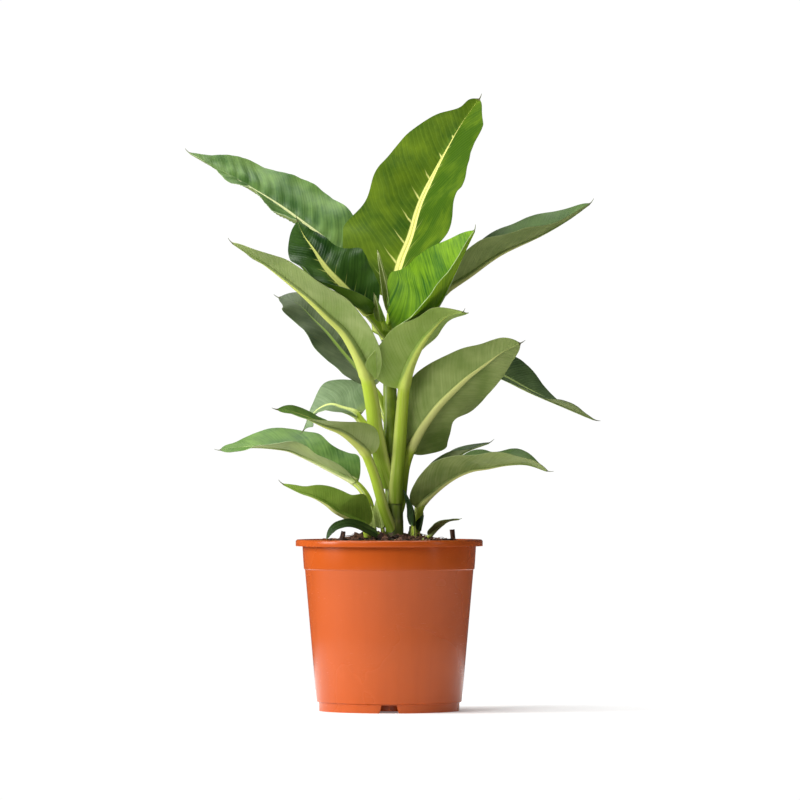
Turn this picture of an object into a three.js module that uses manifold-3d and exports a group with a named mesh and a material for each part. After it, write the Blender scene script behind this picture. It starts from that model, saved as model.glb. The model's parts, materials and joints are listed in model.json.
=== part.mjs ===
// Potted dieffenbachia: a nursery pot of moulded plastic, potting soil, a main stem with two side
// shoots, and every leaf as one grown piece of petiole, midrib and blade.
// Millimetres, +Z up, origin at the centre of the pot's foot. The front of the plant faces -Y.
import * as THREE from 'three';
import { mergeVertices } from 'three/addons/utils/BufferGeometryUtils.js';
import Module from 'manifold-3d';

const wasm = await Module();
wasm.setup();

// ---- driving dimensions ----
const GAP = 0.35;              // clearance between pieces that touch
const POT_SIDES = 48;          // facets round the pot

const POT = {
  height: 155.4,
  rimRadius: 85,
  rimHeight: 5.9,
  rimWall: 1.4,
  footRadius: 64.2,
  footHeight: 8,
  stepRadius: 66,
  bandHeight: 128.4,
  bandRadius: 76.6,
  neckRadius: 78.9,
  wall: 1.6,
  floorHeight: 7,
  floorWall: 2,
};

const NOTCH = { count: 4, bottomWidth: 17.2, topWidth: 13.4, height: 7.3 };
const DRAIN = { count: 6, radius: 4, circle: 38 };

const SOIL = { edgeHeight: 149, crownHeight: 157, rings: 6, lump: 1.4 };
const CHIP = { count: 26, length: 9, width: 4.5, height: 4, seed: 11 };

const BLADE_THICKNESS = 1;
const PATH_STEPS = 240;        // samples along a midrib
const TANGENT_REACH = 0.012;   // share of a path used either side to find its direction

// ---- colours and finishes ----
const finish = (color, roughness) => new THREE.MeshStandardMaterial({ color, roughness, metalness: 0 });
const FINISH = {
  pot: finish(0xc8643c, 0.38),
  soil: finish(0x35241a, 0.95),
  bark: finish(0x2a1c14, 0.9),
  stem: finish(0x7f9a3c, 0.5),
  leaf: finish(0x4f7a34, 0.42),
  youngLeaf: finish(0x6fa32a, 0.4),
  sheath: finish(0xa9bf62, 0.5),
};

// ---- solids ----

// A closed geometry as a manifold solid.
function toSolid(geometry) {
  const bare = geometry.clone();
  bare.deleteAttribute('normal');
  bare.deleteAttribute('uv');
  const merged = mergeVertices(bare, 1e-4);
  return new wasm.Manifold(new wasm.Mesh({
    numProp: 3,
    vertProperties: new Float32Array(merged.attributes.position.array),
    triVerts: new Uint32Array(merged.index.array),
  }));
}

// The biggest body of a solid, so that a scrap left by a cut is dropped.
function biggestBody(solid) {
  return solid.decompose().reduce((best, body) => (body.volume() > best.volume() ? body : best));
}

function toMesh(name, solid, material) {
  const { vertProperties, triVerts } = solid.getMesh();
  const geometry = new THREE.BufferGeometry();
  geometry.setAttribute('position', new THREE.Float32BufferAttribute(vertProperties, 3));
  geometry.setIndex(Array.from(triVerts));
  geometry.computeVertexNormals();
  const mesh = new THREE.Mesh(geometry, material);
  mesh.name = name;
  return mesh;
}

// A profile of [radius, height] pairs turned round the Z axis.
function turned(profile, sides) {
  const points = profile.map(([r, z]) => new THREE.Vector2(r, z));
  return toSolid(new THREE.LatheGeometry(points, sides).rotateX(Math.PI / 2));
}

function facetedBody(vertices, triangles) {
  const geometry = new THREE.BufferGeometry();
  geometry.setAttribute('position', new THREE.Float32BufferAttribute(vertices.flat(), 3));
  geometry.setIndex(triangles.flat());
  return toSolid(geometry);
}

// ---- pot ----

function potProfile() {
  const floorTop = POT.floorHeight + POT.floorWall;
  const rimBottom = POT.height - POT.rimHeight;
  const innerNeck = POT.neckRadius - POT.wall;
  const innerBand = POT.bandRadius - POT.wall;
  return [
    [0, POT.floorHeight],
    [POT.footRadius - POT.wall, POT.floorHeight],
    [POT.footRadius - POT.wall, 0],
    [POT.footRadius, 0],
    [POT.footRadius, POT.footHeight],
    [POT.stepRadius, POT.footHeight + 0.6],
    [POT.bandRadius, POT.bandHeight],
    [POT.bandRadius + 0.9, POT.bandHeight + 0.5],
    [POT.neckRadius, rimBottom],
    [POT.neckRadius, POT.height - 1.6],
    [POT.rimRadius - POT.rimWall, POT.height - 1.6],
    [POT.rimRadius - POT.rimWall, rimBottom],
    [POT.rimRadius, rimBottom],
    [POT.rimRadius, POT.height - 1],
    [POT.rimRadius - 1, POT.height],
    [innerNeck + 0.8, POT.height],
    [innerNeck, POT.height - 0.8],
    [innerNeck, rimBottom],
    [innerBand, POT.bandHeight],
    [POT.stepRadius - POT.wall, floorTop],
    [0, floorTop],
  ];
}

// A radial prism through the skirt, wider at the bottom.
function notchCutter(angle) {
  const outline = new THREE.Shape([
    new THREE.Vector2(-NOTCH.bottomWidth / 2 - 0.3, -1),
    new THREE.Vector2(NOTCH.bottomWidth / 2 + 0.3, -1),
    new THREE.Vector2(NOTCH.topWidth / 2, NOTCH.height),
    new THREE.Vector2(-NOTCH.topWidth / 2, NOTCH.height),
  ]);
  const cutter = new THREE.ExtrudeGeometry(outline, { depth: 12, bevelEnabled: false, steps: 1 });
  cutter.rotateX(Math.PI / 2).translate(0, -POT.footRadius + 8, 0).rotateZ(angle);
  return toSolid(cutter);
}

function makePot() {
  let pot = turned(potProfile(), POT_SIDES);
  for (let i = 0; i < NOTCH.count; i += 1) {
    pot = pot.subtract(notchCutter((i / NOTCH.count) * Math.PI * 2));
  }
  for (let i = 0; i < DRAIN.count; i += 1) {
    const angle = ((i + 0.5) / DRAIN.count) * Math.PI * 2;
    const hole = new THREE.CylinderGeometry(DRAIN.radius, DRAIN.radius, 8, 12).rotateX(Math.PI / 2);
    hole.translate(DRAIN.circle * Math.cos(angle), DRAIN.circle * Math.sin(angle), POT.floorHeight + 1);
    pot = pot.subtract(toSolid(hole));
  }
  return pot;
}

// ---- soil ----

// Repeatable draws between 0 and 1.
function seededDraws(seed) {
  let state = seed;
  return () => {
    state = (state * 16807) % 2147483647;
    return state / 2147483647;
  };
}

function soilHeight(x, y, share) {
  const mound = SOIL.edgeHeight + (SOIL.crownHeight - SOIL.edgeHeight) * Math.cos(share * Math.PI / 2);
  const lumps = Math.sin(x * 0.21 + 1) * Math.cos(y * 0.18) + 0.6 * Math.sin(x * 0.47 - y * 0.39);
  return mound + SOIL.lump * lumps * (share < 1 ? 1 : 0.3);
}

// The body of soil: a tapered plug that follows the pot's inside, with a lumpy crown.
function soilBody() {
  const floor = POT.floorHeight + POT.floorWall + GAP;
  const foot = POT.stepRadius - POT.wall - GAP;
  const band = POT.bandRadius - POT.wall - GAP;
  const rim = POT.neckRadius - POT.wall - GAP - 0.3;
  const profile = [[0, floor], [foot, floor], [band, POT.bandHeight]];
  const firstTop = profile.length;
  for (let ring = SOIL.rings; ring >= 0; ring -= 1) {
    profile.push([(rim * ring) / SOIL.rings, SOIL.edgeHeight]);
  }
  const points = profile.map(([r, z]) => new THREE.Vector2(r, z));
  const plug = new THREE.LatheGeometry(points, POT_SIDES).rotateX(Math.PI / 2);
  const place = plug.attributes.position;
  for (let i = 0; i < place.count; i += 1) {
    if (i % profile.length >= firstTop) {
      const x = place.getX(i);
      const y = place.getY(i);
      place.setZ(i, soilHeight(x, y, Math.min(1, Math.hypot(x, y) / rim)));
    }
  }
  return toSolid(plug);
}

// One bit of bark, half sunk in the soil.
function barkChip(draw) {
  const angle = draw() * Math.PI * 2;
  const reach = 14 + 56 * Math.sqrt(draw());
  const size = 0.6 + 0.6 * draw();
  const chip = new THREE.BoxGeometry(CHIP.length * size, CHIP.width * size, CHIP.height * size);
  chip.rotateX(draw() - 0.5).rotateY(0.7 * (draw() - 0.5)).rotateZ(draw() * Math.PI);
  const x = reach * Math.cos(angle);
  const y = reach * Math.sin(angle);
  chip.translate(x, y, soilHeight(x, y, reach / 77) + 0.4);
  return toSolid(chip);
}

function makeSoil(planted) {
  const draw = seededDraws(CHIP.seed);
  let soil = soilBody();
  for (let i = 0; i < CHIP.count; i += 1) {
    soil = soil.add(barkChip(draw));
  }
  planted.forEach((grown) => {
    soil = soil.subtract(grown);
  });
  return biggestBody(soil);
}

// A rough stub of bark that stands in the soil: a leaning, tapered stick of five sides.
function barkStub({ foot, height, radius, lean }) {
  const stick = new THREE.CylinderGeometry(radius * 0.7, radius, height, 5).rotateX(Math.PI / 2);
  stick.rotateY(lean).translate(foot[0], foot[1], foot[2]);
  return stick;
}

// ---- stems ----

function curveThrough(path) {
  const points = path.map(([x, y, z]) => new THREE.Vector3(x, y, z));
  return new THREE.CatmullRomCurve3(points, false, 'catmullrom', 0.5);
}

// A round, tapering stem of level rings, made wider by `grow`.
function makeStem({ path, radii }, grow = 0) {
  const curve = curveThrough(path);
  const sides = 14;
  const levels = 8;
  const vertices = [];
  const triangles = [];
  for (let level = 0; level <= levels; level += 1) {
    const centre = curve.getPoint(level / levels);
    const at = (level / levels) * (radii.length - 1);
    const below = Math.min(Math.floor(at), radii.length - 2);
    const radius = THREE.MathUtils.lerp(radii[below], radii[below + 1], at - below) + grow;
    const lift = level === levels ? grow : 0;
    for (let side = 0; side < sides; side += 1) {
      const angle = (side / sides) * Math.PI * 2;
      vertices.push([
        centre.x + radius * Math.cos(angle),
        centre.y + radius * Math.sin(angle),
        centre.z + lift,
      ]);
    }
  }
  for (let level = 0; level < levels; level += 1) {
    for (let side = 0; side < sides; side += 1) {
      const a = level * sides + side;
      const b = level * sides + ((side + 1) % sides);
      triangles.push([a, b, b + sides], [a, b + sides, a + sides]);
    }
  }
  const top = levels * sides;
  for (let side = 1; side < sides - 1; side += 1) {
    triangles.push([0, side + 1, side], [top, top + side, top + side + 1]);
  }
  return facetedBody(vertices, triangles);
}

// ---- leaves ----
// A leaf follows one curve: petiole root, blade base, midrib, tip. `face` is the way the upper side
// looks. Each half of the blade has its own width, outline and fold, so a leaf can sit like a trough
// or let one half hang. A value given as [base, middle, tip] runs smoothly along the blade.

const along = ([base, middle, tip], t) => (
  base * (1 - t) * (1 - 2 * t) + middle * 4 * t * (1 - t) + tip * t * (2 * t - 1)
);

// Half width of a blade at t (0 base, 1 tip): a round base up to the widest place, then a taper.
// Its margin swells (or draws in) at the places named as [t, rise, reach].
function outline({ width, widest, round, bulge, taper, swells }, t) {
  const rising = Math.sin((Math.PI / 2) * Math.min(t / widest, 1)) ** round;
  const past = Math.max(0, (t - widest) / (1 - widest));
  const plain = width * rising * Math.max(0, 1 - past ** bulge) ** taper;
  const nearEnd = Math.min(1, 8 * t, 8 * (1 - t));
  const extra = swells.reduce((sum, [at, rise, reach]) => (
    sum + rise * nearEnd * Math.exp(-(((t - at) / reach) ** 2))
  ), 0);
  return Math.max(0, plain + extra);
}

// Sampled path with its running length.
function measurePath(path) {
  const points = curveThrough(path).getPoints(PATH_STEPS);
  const lengths = [0];
  for (let i = 1; i < points.length; i += 1) {
    lengths.push(lengths[i - 1] + points[i].distanceTo(points[i - 1]));
  }
  const at = (length) => {
    let i = lengths.findIndex((value) => value >= length);
    if (i < 0) i = PATH_STEPS;
    if (i === 0) return points[0].clone();
    const share = (length - lengths[i - 1]) / (lengths[i] - lengths[i - 1]);
    return points[i - 1].clone().lerp(points[i], Math.min(share, 1));
  };
  return { lengths, at, total: lengths[PATH_STEPS] };
}

// Stations from the petiole's root (t < 0) over the blade (t from 0 to 1), closer at both ends.
function leafStations(leaf, route) {
  const baseLength = route.lengths[Math.round((leaf.bladeFrom * PATH_STEPS) / (leaf.path.length - 1))];
  const stations = [];
  for (let i = 0; i < leaf.petioleSteps; i += 1) {
    stations.push({ length: (baseLength * i) / leaf.petioleSteps, t: i / leaf.petioleSteps - 1 });
  }
  for (let i = 0; i <= leaf.bladeSteps; i += 1) {
    const t = Math.min(0.995, (1 - Math.cos((Math.PI * i) / leaf.bladeSteps)) / 2);
    stations.push({ length: baseLength + (route.total - baseLength) * t, t });
  }
  return stations;
}

// Direction, upper side and right side at a station.
function leafFrame(leaf, route, { length, t }) {
  const reach = route.total * TANGENT_REACH;
  const ahead = route.at(Math.min(length + reach, route.total));
  const direction = ahead.sub(route.at(Math.max(length - reach, 0))).normalize();
  const upper = new THREE.Vector3(...leaf.face);
  upper.addScaledVector(direction, -upper.dot(direction)).normalize();
  const turn = THREE.MathUtils.degToRad(along(leaf.turn, Math.max(t, 0)));
  upper.applyAxisAngle(direction, turn);
  const right = new THREE.Vector3().crossVectors(direction, upper);
  return { centre: route.at(length), direction, upper, right };
}

// Points of one half of a section, midrib to margin, on the upper side and on the underside.
function halfSection(leaf, station, frame, side, half, grow) {
  const { t } = station;
  const [rootRadius, neckRadius] = leaf.petiole;
  const onBlade = t >= 0;
  const petioleRadius = THREE.MathUtils.lerp(rootRadius, neckRadius, 1 + t);
  const width = onBlade ? outline(half, t) + neckRadius * (1 - t) ** 3 + 0.5 : petioleRadius;
  const ribHalf = onBlade ? neckRadius * (1 - t) * 0.95 + 0.8 : petioleRadius;
  const ribDepth = onBlade ? 1.15 * neckRadius * (1 - t) ** 1.3 + 0.35 : 1.1 * petioleRadius;
  const fold = THREE.MathUtils.degToRad(onBlade ? along(half.fold, t) : 9);
  const curl = THREE.MathUtils.degToRad(onBlade ? along(half.curl, t) : 12);
  const ribEdge = Math.min((0.6 * ribHalf) / width, 0.45);
  const shares = onBlade ? [0, ribEdge, ribEdge + (1 - ribEdge) / 2, 1] : [0, 0.45, 0.8, 1];
  return shares.map((share) => {
    const lean = fold + curl * share;
    const flat = Math.abs(curl) < 1e-4;
    const out = flat ? share * Math.cos(fold) : (Math.sin(lean) - Math.sin(fold)) / curl;
    const rise = flat ? share * Math.sin(fold) : (Math.cos(fold) - Math.cos(lean)) / curl;
    const point = frame.centre.clone()
      .addScaledVector(frame.right, side * width * out)
      .addScaledVector(frame.upper, width * rise);
    if (onBlade) {
      const phase = leaf.wave.count * t + leaf.wave.start + (side > 0 ? 0.25 : 0);
      const ripple = Math.sin(2 * Math.PI * phase);
      const lift = leaf.wave.height * share ** 2 * ripple * Math.sqrt(Math.sin(Math.PI * t));
      point.addScaledVector(frame.direction, -leaf.lobe * share ** 1.5 * (1 - t) ** 4);
      point.addScaledVector(frame.upper, lift);
    }
    const outward = share === 0 ? frame.upper.clone() : frame.upper.clone()
      .multiplyScalar(Math.cos(lean)).addScaledVector(frame.right, -side * Math.sin(lean));
    if (share === 1) {
      point.addScaledVector(frame.right, side * grow * Math.cos(lean));
      point.addScaledVector(frame.upper, grow * Math.sin(lean));
    }
    const rib = Math.sqrt(Math.max(0, 1 - ((share * width) / ribHalf) ** 2));
    const depth = BLADE_THICKNESS + ribDepth * rib;
    return {
      top: point.clone().addScaledVector(outward, grow),
      under: point.clone().addScaledVector(outward, -depth - grow),
    };
  });
}

// The whole leaf as one closed body of rings, made wider by `grow`.
function makeLeaf(leaf, grow = 0) {
  const route = measurePath(leaf.path);
  const stations = leafStations(leaf, route);
  const rings = stations.map((station, i) => {
    const frame = leafFrame(leaf, route, station);
    if (i === 0) frame.centre.addScaledVector(frame.direction, -grow);
    if (i === stations.length - 1) frame.centre.addScaledVector(frame.direction, grow);
    const left = halfSection(leaf, station, frame, -1, leaf.left, grow).slice(1).reverse();
    const right = halfSection(leaf, station, frame, 1, leaf.right, grow);
    return [...left, ...right];
  });
  const across = rings[0].length;
  const under = rings.length * across;
  const vertices = [
    ...rings.flat().map(({ top }) => top.toArray()),
    ...rings.flat().map((pair) => pair.under.toArray()),
  ];
  const triangles = [];
  for (let ring = 0; ring < rings.length - 1; ring += 1) {
    for (let i = 0; i < across - 1; i += 1) {
      const a = ring * across + i;
      const [b, c, d] = [a + 1, a + across + 1, a + across];
      triangles.push([a, b, c], [a, c, d]);
      triangles.push([under + a, under + c, under + b], [under + a, under + d, under + c]);
    }
    const left = ring * across;
    triangles.push([left, left + across, under + left + across]);
    triangles.push([left, under + left + across, under + left]);
    const right = left + across - 1;
    triangles.push([right, under + right, under + right + across]);
    triangles.push([right, under + right + across, right + across]);
  }
  const last = (rings.length - 1) * across;
  for (let i = 0; i < across - 1; i += 1) {
    triangles.push([i, under + i, under + i + 1], [i, under + i + 1, i + 1]);
    triangles.push([last + i, under + last + i + 1, under + last + i]);
    triangles.push([last + i, last + i + 1, under + last + i + 1]);
  }
  return facetedBody(vertices, triangles);
}

const STRAIGHT = [0, 0, 0];

// One half of a blade.
const half = (width, [widest, round, bulge, taper], fold, curl = STRAIGHT, swells = []) => (
  { width, widest, round, bulge, taper, fold, curl, swells }
);

// A full-size leaf, with the values that most of them share.
const leaf = (spec) => ({
  turn: STRAIGHT,
  wave: { height: 1.5, count: 2.5, start: 0 },
  lobe: 4,
  petioleSteps: 4,
  bladeSteps: 11,
  finish: 'leaf',
  ...spec,
});

// A bract, sheath or young spear: short, narrow and simply folded.
const blade = (path, petiole, width, face, fold, curl, finishName) => leaf({
  path,
  bladeFrom: 1,
  petiole,
  face,
  wave: { height: 0, count: 1, start: 0 },
  lobe: 0,
  petioleSteps: 2,
  bladeSteps: 6,
  left: half(width, [0.35, 0.5, 1.2, 0.9], [fold, fold, fold], [curl, curl, curl]),
  right: half(width, [0.35, 0.5, 1.2, 0.9], [fold, fold, fold], [curl, curl, curl]),
  finish: finishName,
});

const STEMS = {
  main_stem: {
    path: [[5, 0, 132], [4.5, 0, 192], [2, 0, 246], [0.5, 0, 300], [0, 0, 340]],
    radii: [8.5, 8, 7, 6, 5],
  },
  left_shoot_stem: {
    path: [[-20, 2, 132], [-19.5, 2, 155], [-17.5, 2, 167.5]],
    radii: [6, 5, 4],
  },
  right_shoot_stem: {
    path: [[20.5, 12, 132], [21.5, 12, 155], [22.5, 13, 167.5]],
    radii: [6, 5, 4],
  },
};

const LEAVES = {
  leaf_top: leaf({
    path: [[0.5, 0, 343], [2.5, 5, 362], [6, 14, 387], [12, 27, 410], [20, 38, 431], [28.5, 50, 461],
      [40, 58, 487], [53, 66, 513], [67, 71, 538], [82.5, 75, 560]],
    bladeFrom: 2, petiole: [5, 4.2], face: [-0.6, -0.8, 0.15], turn: [4, 0, -4], lobe: 12,
    wave: { height: 3, count: 2.2, start: 0.1 },
    left: half(61, [0.28, 0.5, 1.15, 0.6], [30, 26, 22], [-6, -6, 0],
      [[0.3, 4, 0.07], [0.41, -6, 0.07], [0.72, 6, 0.1], [0.94, -14, 0.06]]),
    right: half(72, [0.28, 0.5, 1.15, 0.6], [30, 30, 20], [-6, -6, 0],
      [[0.48, 11, 0.13], [0.86, 14, 0.1]]),
    finish: 'youngLeaf',
  }),
  leaf_upper_left_back: leaf({
    path: [[-4, 7, 338], [-19, 22, 374], [-36, 35, 403], [-56, 45, 426], [-82, 54, 447], [-108, 63, 466],
      [-142, 72, 487], [-184, 78, 511]],
    bladeFrom: 2, petiole: [5.5, 3.5], face: [0.4, -0.5, 0.76], lobe: 6,
    wave: { height: 2.5, count: 3.2, start: 0.3 },
    left: half(40, [0.3, 0.5, 1.2, 0.75], [24, 21, 24], [10, 0, 0], [[0.85, -5, 0.08]]),
    right: half(45, [0.36, 0.7, 1.2, 0.75], [25, 20, 14], [0, 0, -10], [[0.5, 3, 0.1], [0.73, 8, 0.1]]),
  }),
  leaf_curled_dark: leaf({
    path: [[-3, -4, 340], [-11, -8, 352], [-20, -12, 362], [-32, -17, 374], [-44, -20, 387], [-57, -20, 401],
      [-69, -18, 419], [-78, -15, 432], [-83, -11, 444]],
    bladeFrom: 2, petiole: [4.6, 3.4], face: [0.25, -0.85, 0.35], bladeSteps: 12,
    wave: { height: 2, count: 2, start: 0 },
    left: half(36, [0.5, 0.5, 1.4, 0.8], [30, 5, 0], [150, 70, -20]),
    right: half(29, [0.35, 0.5, 1.3, 0.85], [30, 20, 10], [10, 0, 0], [[0.45, 4, 0.13]]),
  }),
  leaf_new: leaf({
    path: [[1.5, -7, 325], [10, -13, 336], [20, -20, 347], [38, -29, 362], [48, -35, 376], [56, -40, 392],
      [65, -45, 411], [71, -48, 423], [76.5, -50, 434]],
    bladeFrom: 2, petiole: [4, 3], face: [-0.6, -0.5, 0.6], lobe: 16,
    wave: { height: 1.5, count: 2, start: 0 },
    left: half(52, [0.32, 0.45, 1.2, 0.75], [40, 34, 30], STRAIGHT, [[0.13, 7, 0.12]]),
    right: half(41, [0.32, 0.45, 1.2, 0.75], [40, 36, 30], [10, 10, 10]),
    finish: 'youngLeaf',
  }),
  leaf_upper_right: leaf({
    path: [[2.5, 6, 332], [19, 12, 350], [37, 18, 370], [53, 22, 384], [72, 26, 397], [101, 30, 417],
      [138, 32, 434], [163, 32, 448], [183, 30, 462]],
    bladeFrom: 3, petiole: [5, 3.4], face: [-0.48, -0.28, 0.84], lobe: 5,
    wave: { height: 1.5, count: 3, start: 0.2 },
    left: half(30, [0.5, 0.6, 1.7, 0.8], [30, 30, 20], STRAIGHT, [[0.3, -6, 0.15]]),
    right: half(38, [0.4, 0.6, 1.5, 0.8], [55, 32, 16], [6, 6, 0]),
  }),
  leaf_long_left: leaf({
    path: [[-2.5, -3, 203], [-5, -6, 223], [-8.5, -9, 241], [-12, -13, 260], [-14.5, -18, 280],
      [-20, -25, 306], [-28, -33, 325], [-40, -42, 344], [-55, -51, 358], [-68, -58, 370],
      [-82, -64, 382], [-107, -73, 401], [-123, -78, 411], [-140, -82, 422]],
    bladeFrom: 5, petiole: [7.5, 6], face: [0.45, 0.36, 0.82], lobe: 6,
    wave: { height: 1.5, count: 3, start: 0 },
    left: half(35, [0.4, 0.6, 1.4, 0.7], [4, 10, 8]),
    right: half(31, [0.6, 0.9, 1.5, 0.7], [30, 24, 16]),
  }),
  leaf_dark_left_back: leaf({
    path: [[-1, 4, 262], [-8.5, 12, 284], [-19, 20, 298], [-36, 32, 318], [-46, 38, 330], [-58, 46, 345],
      [-70, 52, 357], [-85, 58, 372], [-101, 62, 377]],
    bladeFrom: 2, petiole: [4.5, 3.2], face: [0.3, -0.55, 0.78], lobe: 5,
    left: half(30, [0.4, 0.5, 1.5, 0.55], [16, 12, 10], STRAIGHT,
      [[0.05, 10, 0.1], [0.45, 3, 0.15], [0.86, 15, 0.12]]),
    right: half(30, [0.4, 0.5, 1.5, 0.55], [16, 12, 10]),
  }),
  leaf_drooping_left: leaf({
    path: [[-2, 5, 222], [-8.5, 8, 238], [-16, 11, 252], [-25, 14, 263], [-32, 17, 271], [-43, 22, 275],
      [-53, 27, 278], [-63, 32, 275], [-71, 36, 268], [-78, 39, 256]],
    bladeFrom: 4, petiole: [4.5, 3.2], face: [-0.05, -0.75, 0.65], lobe: 6,
    wave: { height: 1.5, count: 2, start: 0 },
    left: half(17, [0.3, 0.5, 1.2, 0.9], [35, 35, 30], STRAIGHT, [[0.86, 8, 0.1]]),
    right: half(40, [0.2, 0.35, 1.2, 1.9], [5, 5, 5], STRAIGHT, [[0.5, 5, 0.08]]),
  }),
  leaf_narrow_left: leaf({
    path: [[1.5, -6, 162], [-1, -8, 173], [-4, -10, 184], [-8.5, -13, 200], [-14, -18, 218], [-22, -26, 236],
      [-33, -34, 247], [-44, -41, 254.5], [-57, -49, 259], [-76, -59, 267], [-89, -65, 271.5],
      [-100, -68, 273]],
    bladeFrom: 5, petiole: [5, 4], face: [0.35, 0.3, 0.88], turn: [0, -5, -75], lobe: 5,
    wave: { height: 1, count: 2, start: 0 },
    left: half(24, [0.25, 0.5, 1.2, 0.8], [25, 10, 5], STRAIGHT, [[0.85, -5, 0.1]]),
    right: half(24, [0.25, 0.5, 1.2, 0.8], [25, 25, 10]),
  }),
  leaf_low_left_rolled: leaf({
    path: [[-17.5, 6, 152], [-15.5, 8, 173], [-18.5, 10, 191], [-25, 12, 202], [-33, 15, 209],
      [-42, 18, 214], [-54, 22, 220], [-66, 26, 226], [-79, 29, 232], [-91, 31, 237],
      [-103, 32, 239], [-116, 33, 240], [-127, 33, 240], [-141, 32, 239], [-154, 30, 237]],
    bladeFrom: 4, petiole: [4, 3], face: [0.05, -0.3, 0.95],
    wave: { height: 1.5, count: 3, start: 0 },
    left: half(30, [0.45, 0.7, 1.6, 0.7], [40, 28, -12], [10, 10, 0], [[0.3, -4, 0.15], [0.9, -5, 0.07]]),
    right: half(34, [0.45, 0.7, 1.6, 0.7], [40, 20, 5], STRAIGHT,
      [[0.05, 13, 0.08], [0.3, -8, 0.1], [0.91, -6, 0.06]]),
  }),
  leaf_low_left_bright: leaf({
    path: [[-19, -8, 150], [-19, -11, 160], [-23, -15, 169], [-38, -24, 177], [-48, -31, 182],
      [-57, -37, 189], [-68, -43, 195], [-80, -48, 199], [-95, -54, 206]],
    bladeFrom: 2, petiole: [4, 3], face: [0.2, 0.2, 0.95], lobe: 3,
    wave: { height: 1, count: 2, start: 0 },
    left: half(22, [0.3, 0.5, 1.3, 0.8], [45, 40, 30], STRAIGHT, [[0.25, 5, 0.12]]),
    right: half(20, [0.3, 0.5, 1.3, 0.8], [20, 20, 10]),
  }),
  leaf_low_left_dark: leaf({
    path: [[-1, -16, 149], [-4, -19, 155], [-11, -25, 161], [-20, -33, 166], [-30, -42, 170],
      [-39, -50, 171], [-48, -58, 168], [-53, -63, 163], [-56, -66, 157]],
    bladeFrom: 2, petiole: [3, 2.5], face: [-0.2, -0.7, 0.7], lobe: 2, petioleSteps: 2, bladeSteps: 8,
    wave: { height: 0, count: 1, start: 0 },
    left: half(8, [0.35, 0.4, 1.3, 0.8], STRAIGHT),
    right: half(8, [0.35, 0.4, 1.3, 0.8], STRAIGHT),
  }),
  leaf_front_pale: leaf({
    path: [[5.5, -9, 188], [6, -9, 209], [8, -10, 236], [10, -12.5, 264], [11.5, -15, 282],
      [13.5, -20, 298], [18, -26, 313], [26, -34, 329], [35, -42, 342], [46, -50, 354],
      [55, -56, 359], [66, -64, 361]],
    bladeFrom: 5, petiole: [6.5, 5], face: [-0.5, 0.5, 0.7], lobe: 6,
    wave: { height: 1.5, count: 2, start: 0 },
    left: half(34, [0.35, 0.45, 1.6, 0.6], [45, 22, 10], STRAIGHT, [[0.85, 12, 0.12]]),
    right: half(36, [0.3, 0.45, 1.4, 0.85], [20, 18, 10], STRAIGHT,
      [[0.13, 8, 0.11], [0.85, 6, 0.12]]),
  }),
  leaf_large_right: leaf({
    path: [[10.5, 2, 176], [11, 1, 194], [12.5, 0, 209], [15, -1, 224], [20.5, -3, 239], [29, -6, 255],
      [38, -9, 268], [47, -12, 279], [59, -15, 291], [72, -18, 303], [88, -21, 315], [102, -23, 325],
      [118, -25, 333]],
    bladeFrom: 4, petiole: [4.5, 3.8], face: [-0.1, 1, 0.25], lobe: 5, bladeSteps: 12,
    wave: { height: 2, count: 2.5, start: 0 },
    left: half(31, [0.35, 0.45, 1.6, 0.6], [18, 18, 12], STRAIGHT,
      [[0.07, 10, 0.08], [0.32, -11, 0.1]]),
    right: half(31, [0.35, 0.45, 1.6, 0.6], [18, 18, 12], STRAIGHT,
      [[0.42, 3, 0.12], [0.8, -3, 0.1]]),
  }),
  leaf_dark_right: leaf({
    path: [[4.5, 5, 241], [20, 13, 271], [42, 26, 295], [66, 39, 309], [88, 50, 311], [106, 58, 304],
      [129, 67, 292], [155, 73, 280], [189, 78, 265]],
    bladeFrom: 3, petiole: [5, 3.4], face: [0.1, -0.45, 0.88], turn: [0, 0, -65],
    left: half(30, [0.5, 0.6, 1.3, 1.1], [15, 12, 10], STRAIGHT, [[0.35, 5, 0.12], [0.78, 6, 0.12]]),
    right: half(24, [0.5, 0.6, 1.3, 1.1], [20, 20, 10]),
  }),
  leaf_low_right_large: leaf({
    path: [[20.5, 10, 153], [22.5, 10, 168], [26, 8, 179], [31, 4, 190], [45, -1, 203], [60, -6, 213],
      [75, -11, 219], [89, -15, 221], [107, -19, 224], [125, -22, 224], [143, -24, 218]],
    bladeFrom: 3, petiole: [4, 3], face: [-0.1, 0.12, 0.98], lobe: 8,
    wave: { height: 1.5, count: 3, start: 0 },
    left: half(35, [0.3, 0.5, 1.8, 0.55], [30, 35, 20], STRAIGHT, [[0.8, 4, 0.12]]),
    right: half(33, [0.3, 0.5, 1.8, 0.55], [20, 20, 10]),
  }),
  leaf_low_right_twisted: leaf({
    path: [[20.5, 18, 151], [23.5, 20, 171], [25.5, 22, 186], [28, 24, 198], [34, 28, 206], [45, 33, 217],
      [58, 38, 227], [70, 42, 236], [91, 44, 243.5]],
    bladeFrom: 3, petiole: [3.5, 2.6], face: [-0.5, 0.2, 0.84], turn: [-20, 0, 30],
    wave: { height: 1.5, count: 2, start: 0 },
    left: half(23, [0.35, 0.45, 1.3, 0.8], [30, 30, 10], STRAIGHT, [[0.1, 8, 0.08]]),
    right: half(16, [0.35, 0.45, 1.3, 0.8], [20, 20, 10]),
  }),
  leaf_small_right: leaf({
    path: [[28, -20, 150], [31.5, -23, 156], [37, -26, 160.5], [44, -30, 167], [53, -34, 173],
      [63, -38, 174.5]],
    bladeFrom: 2, petiole: [2, 1.6], face: [-0.1, 0.1, 0.99], lobe: 1, petioleSteps: 2, bladeSteps: 7,
    wave: { height: 0.5, count: 2, start: 0 },
    left: half(9, [0.4, 0.6, 1.2, 0.9], [10, 10, 10]),
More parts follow.
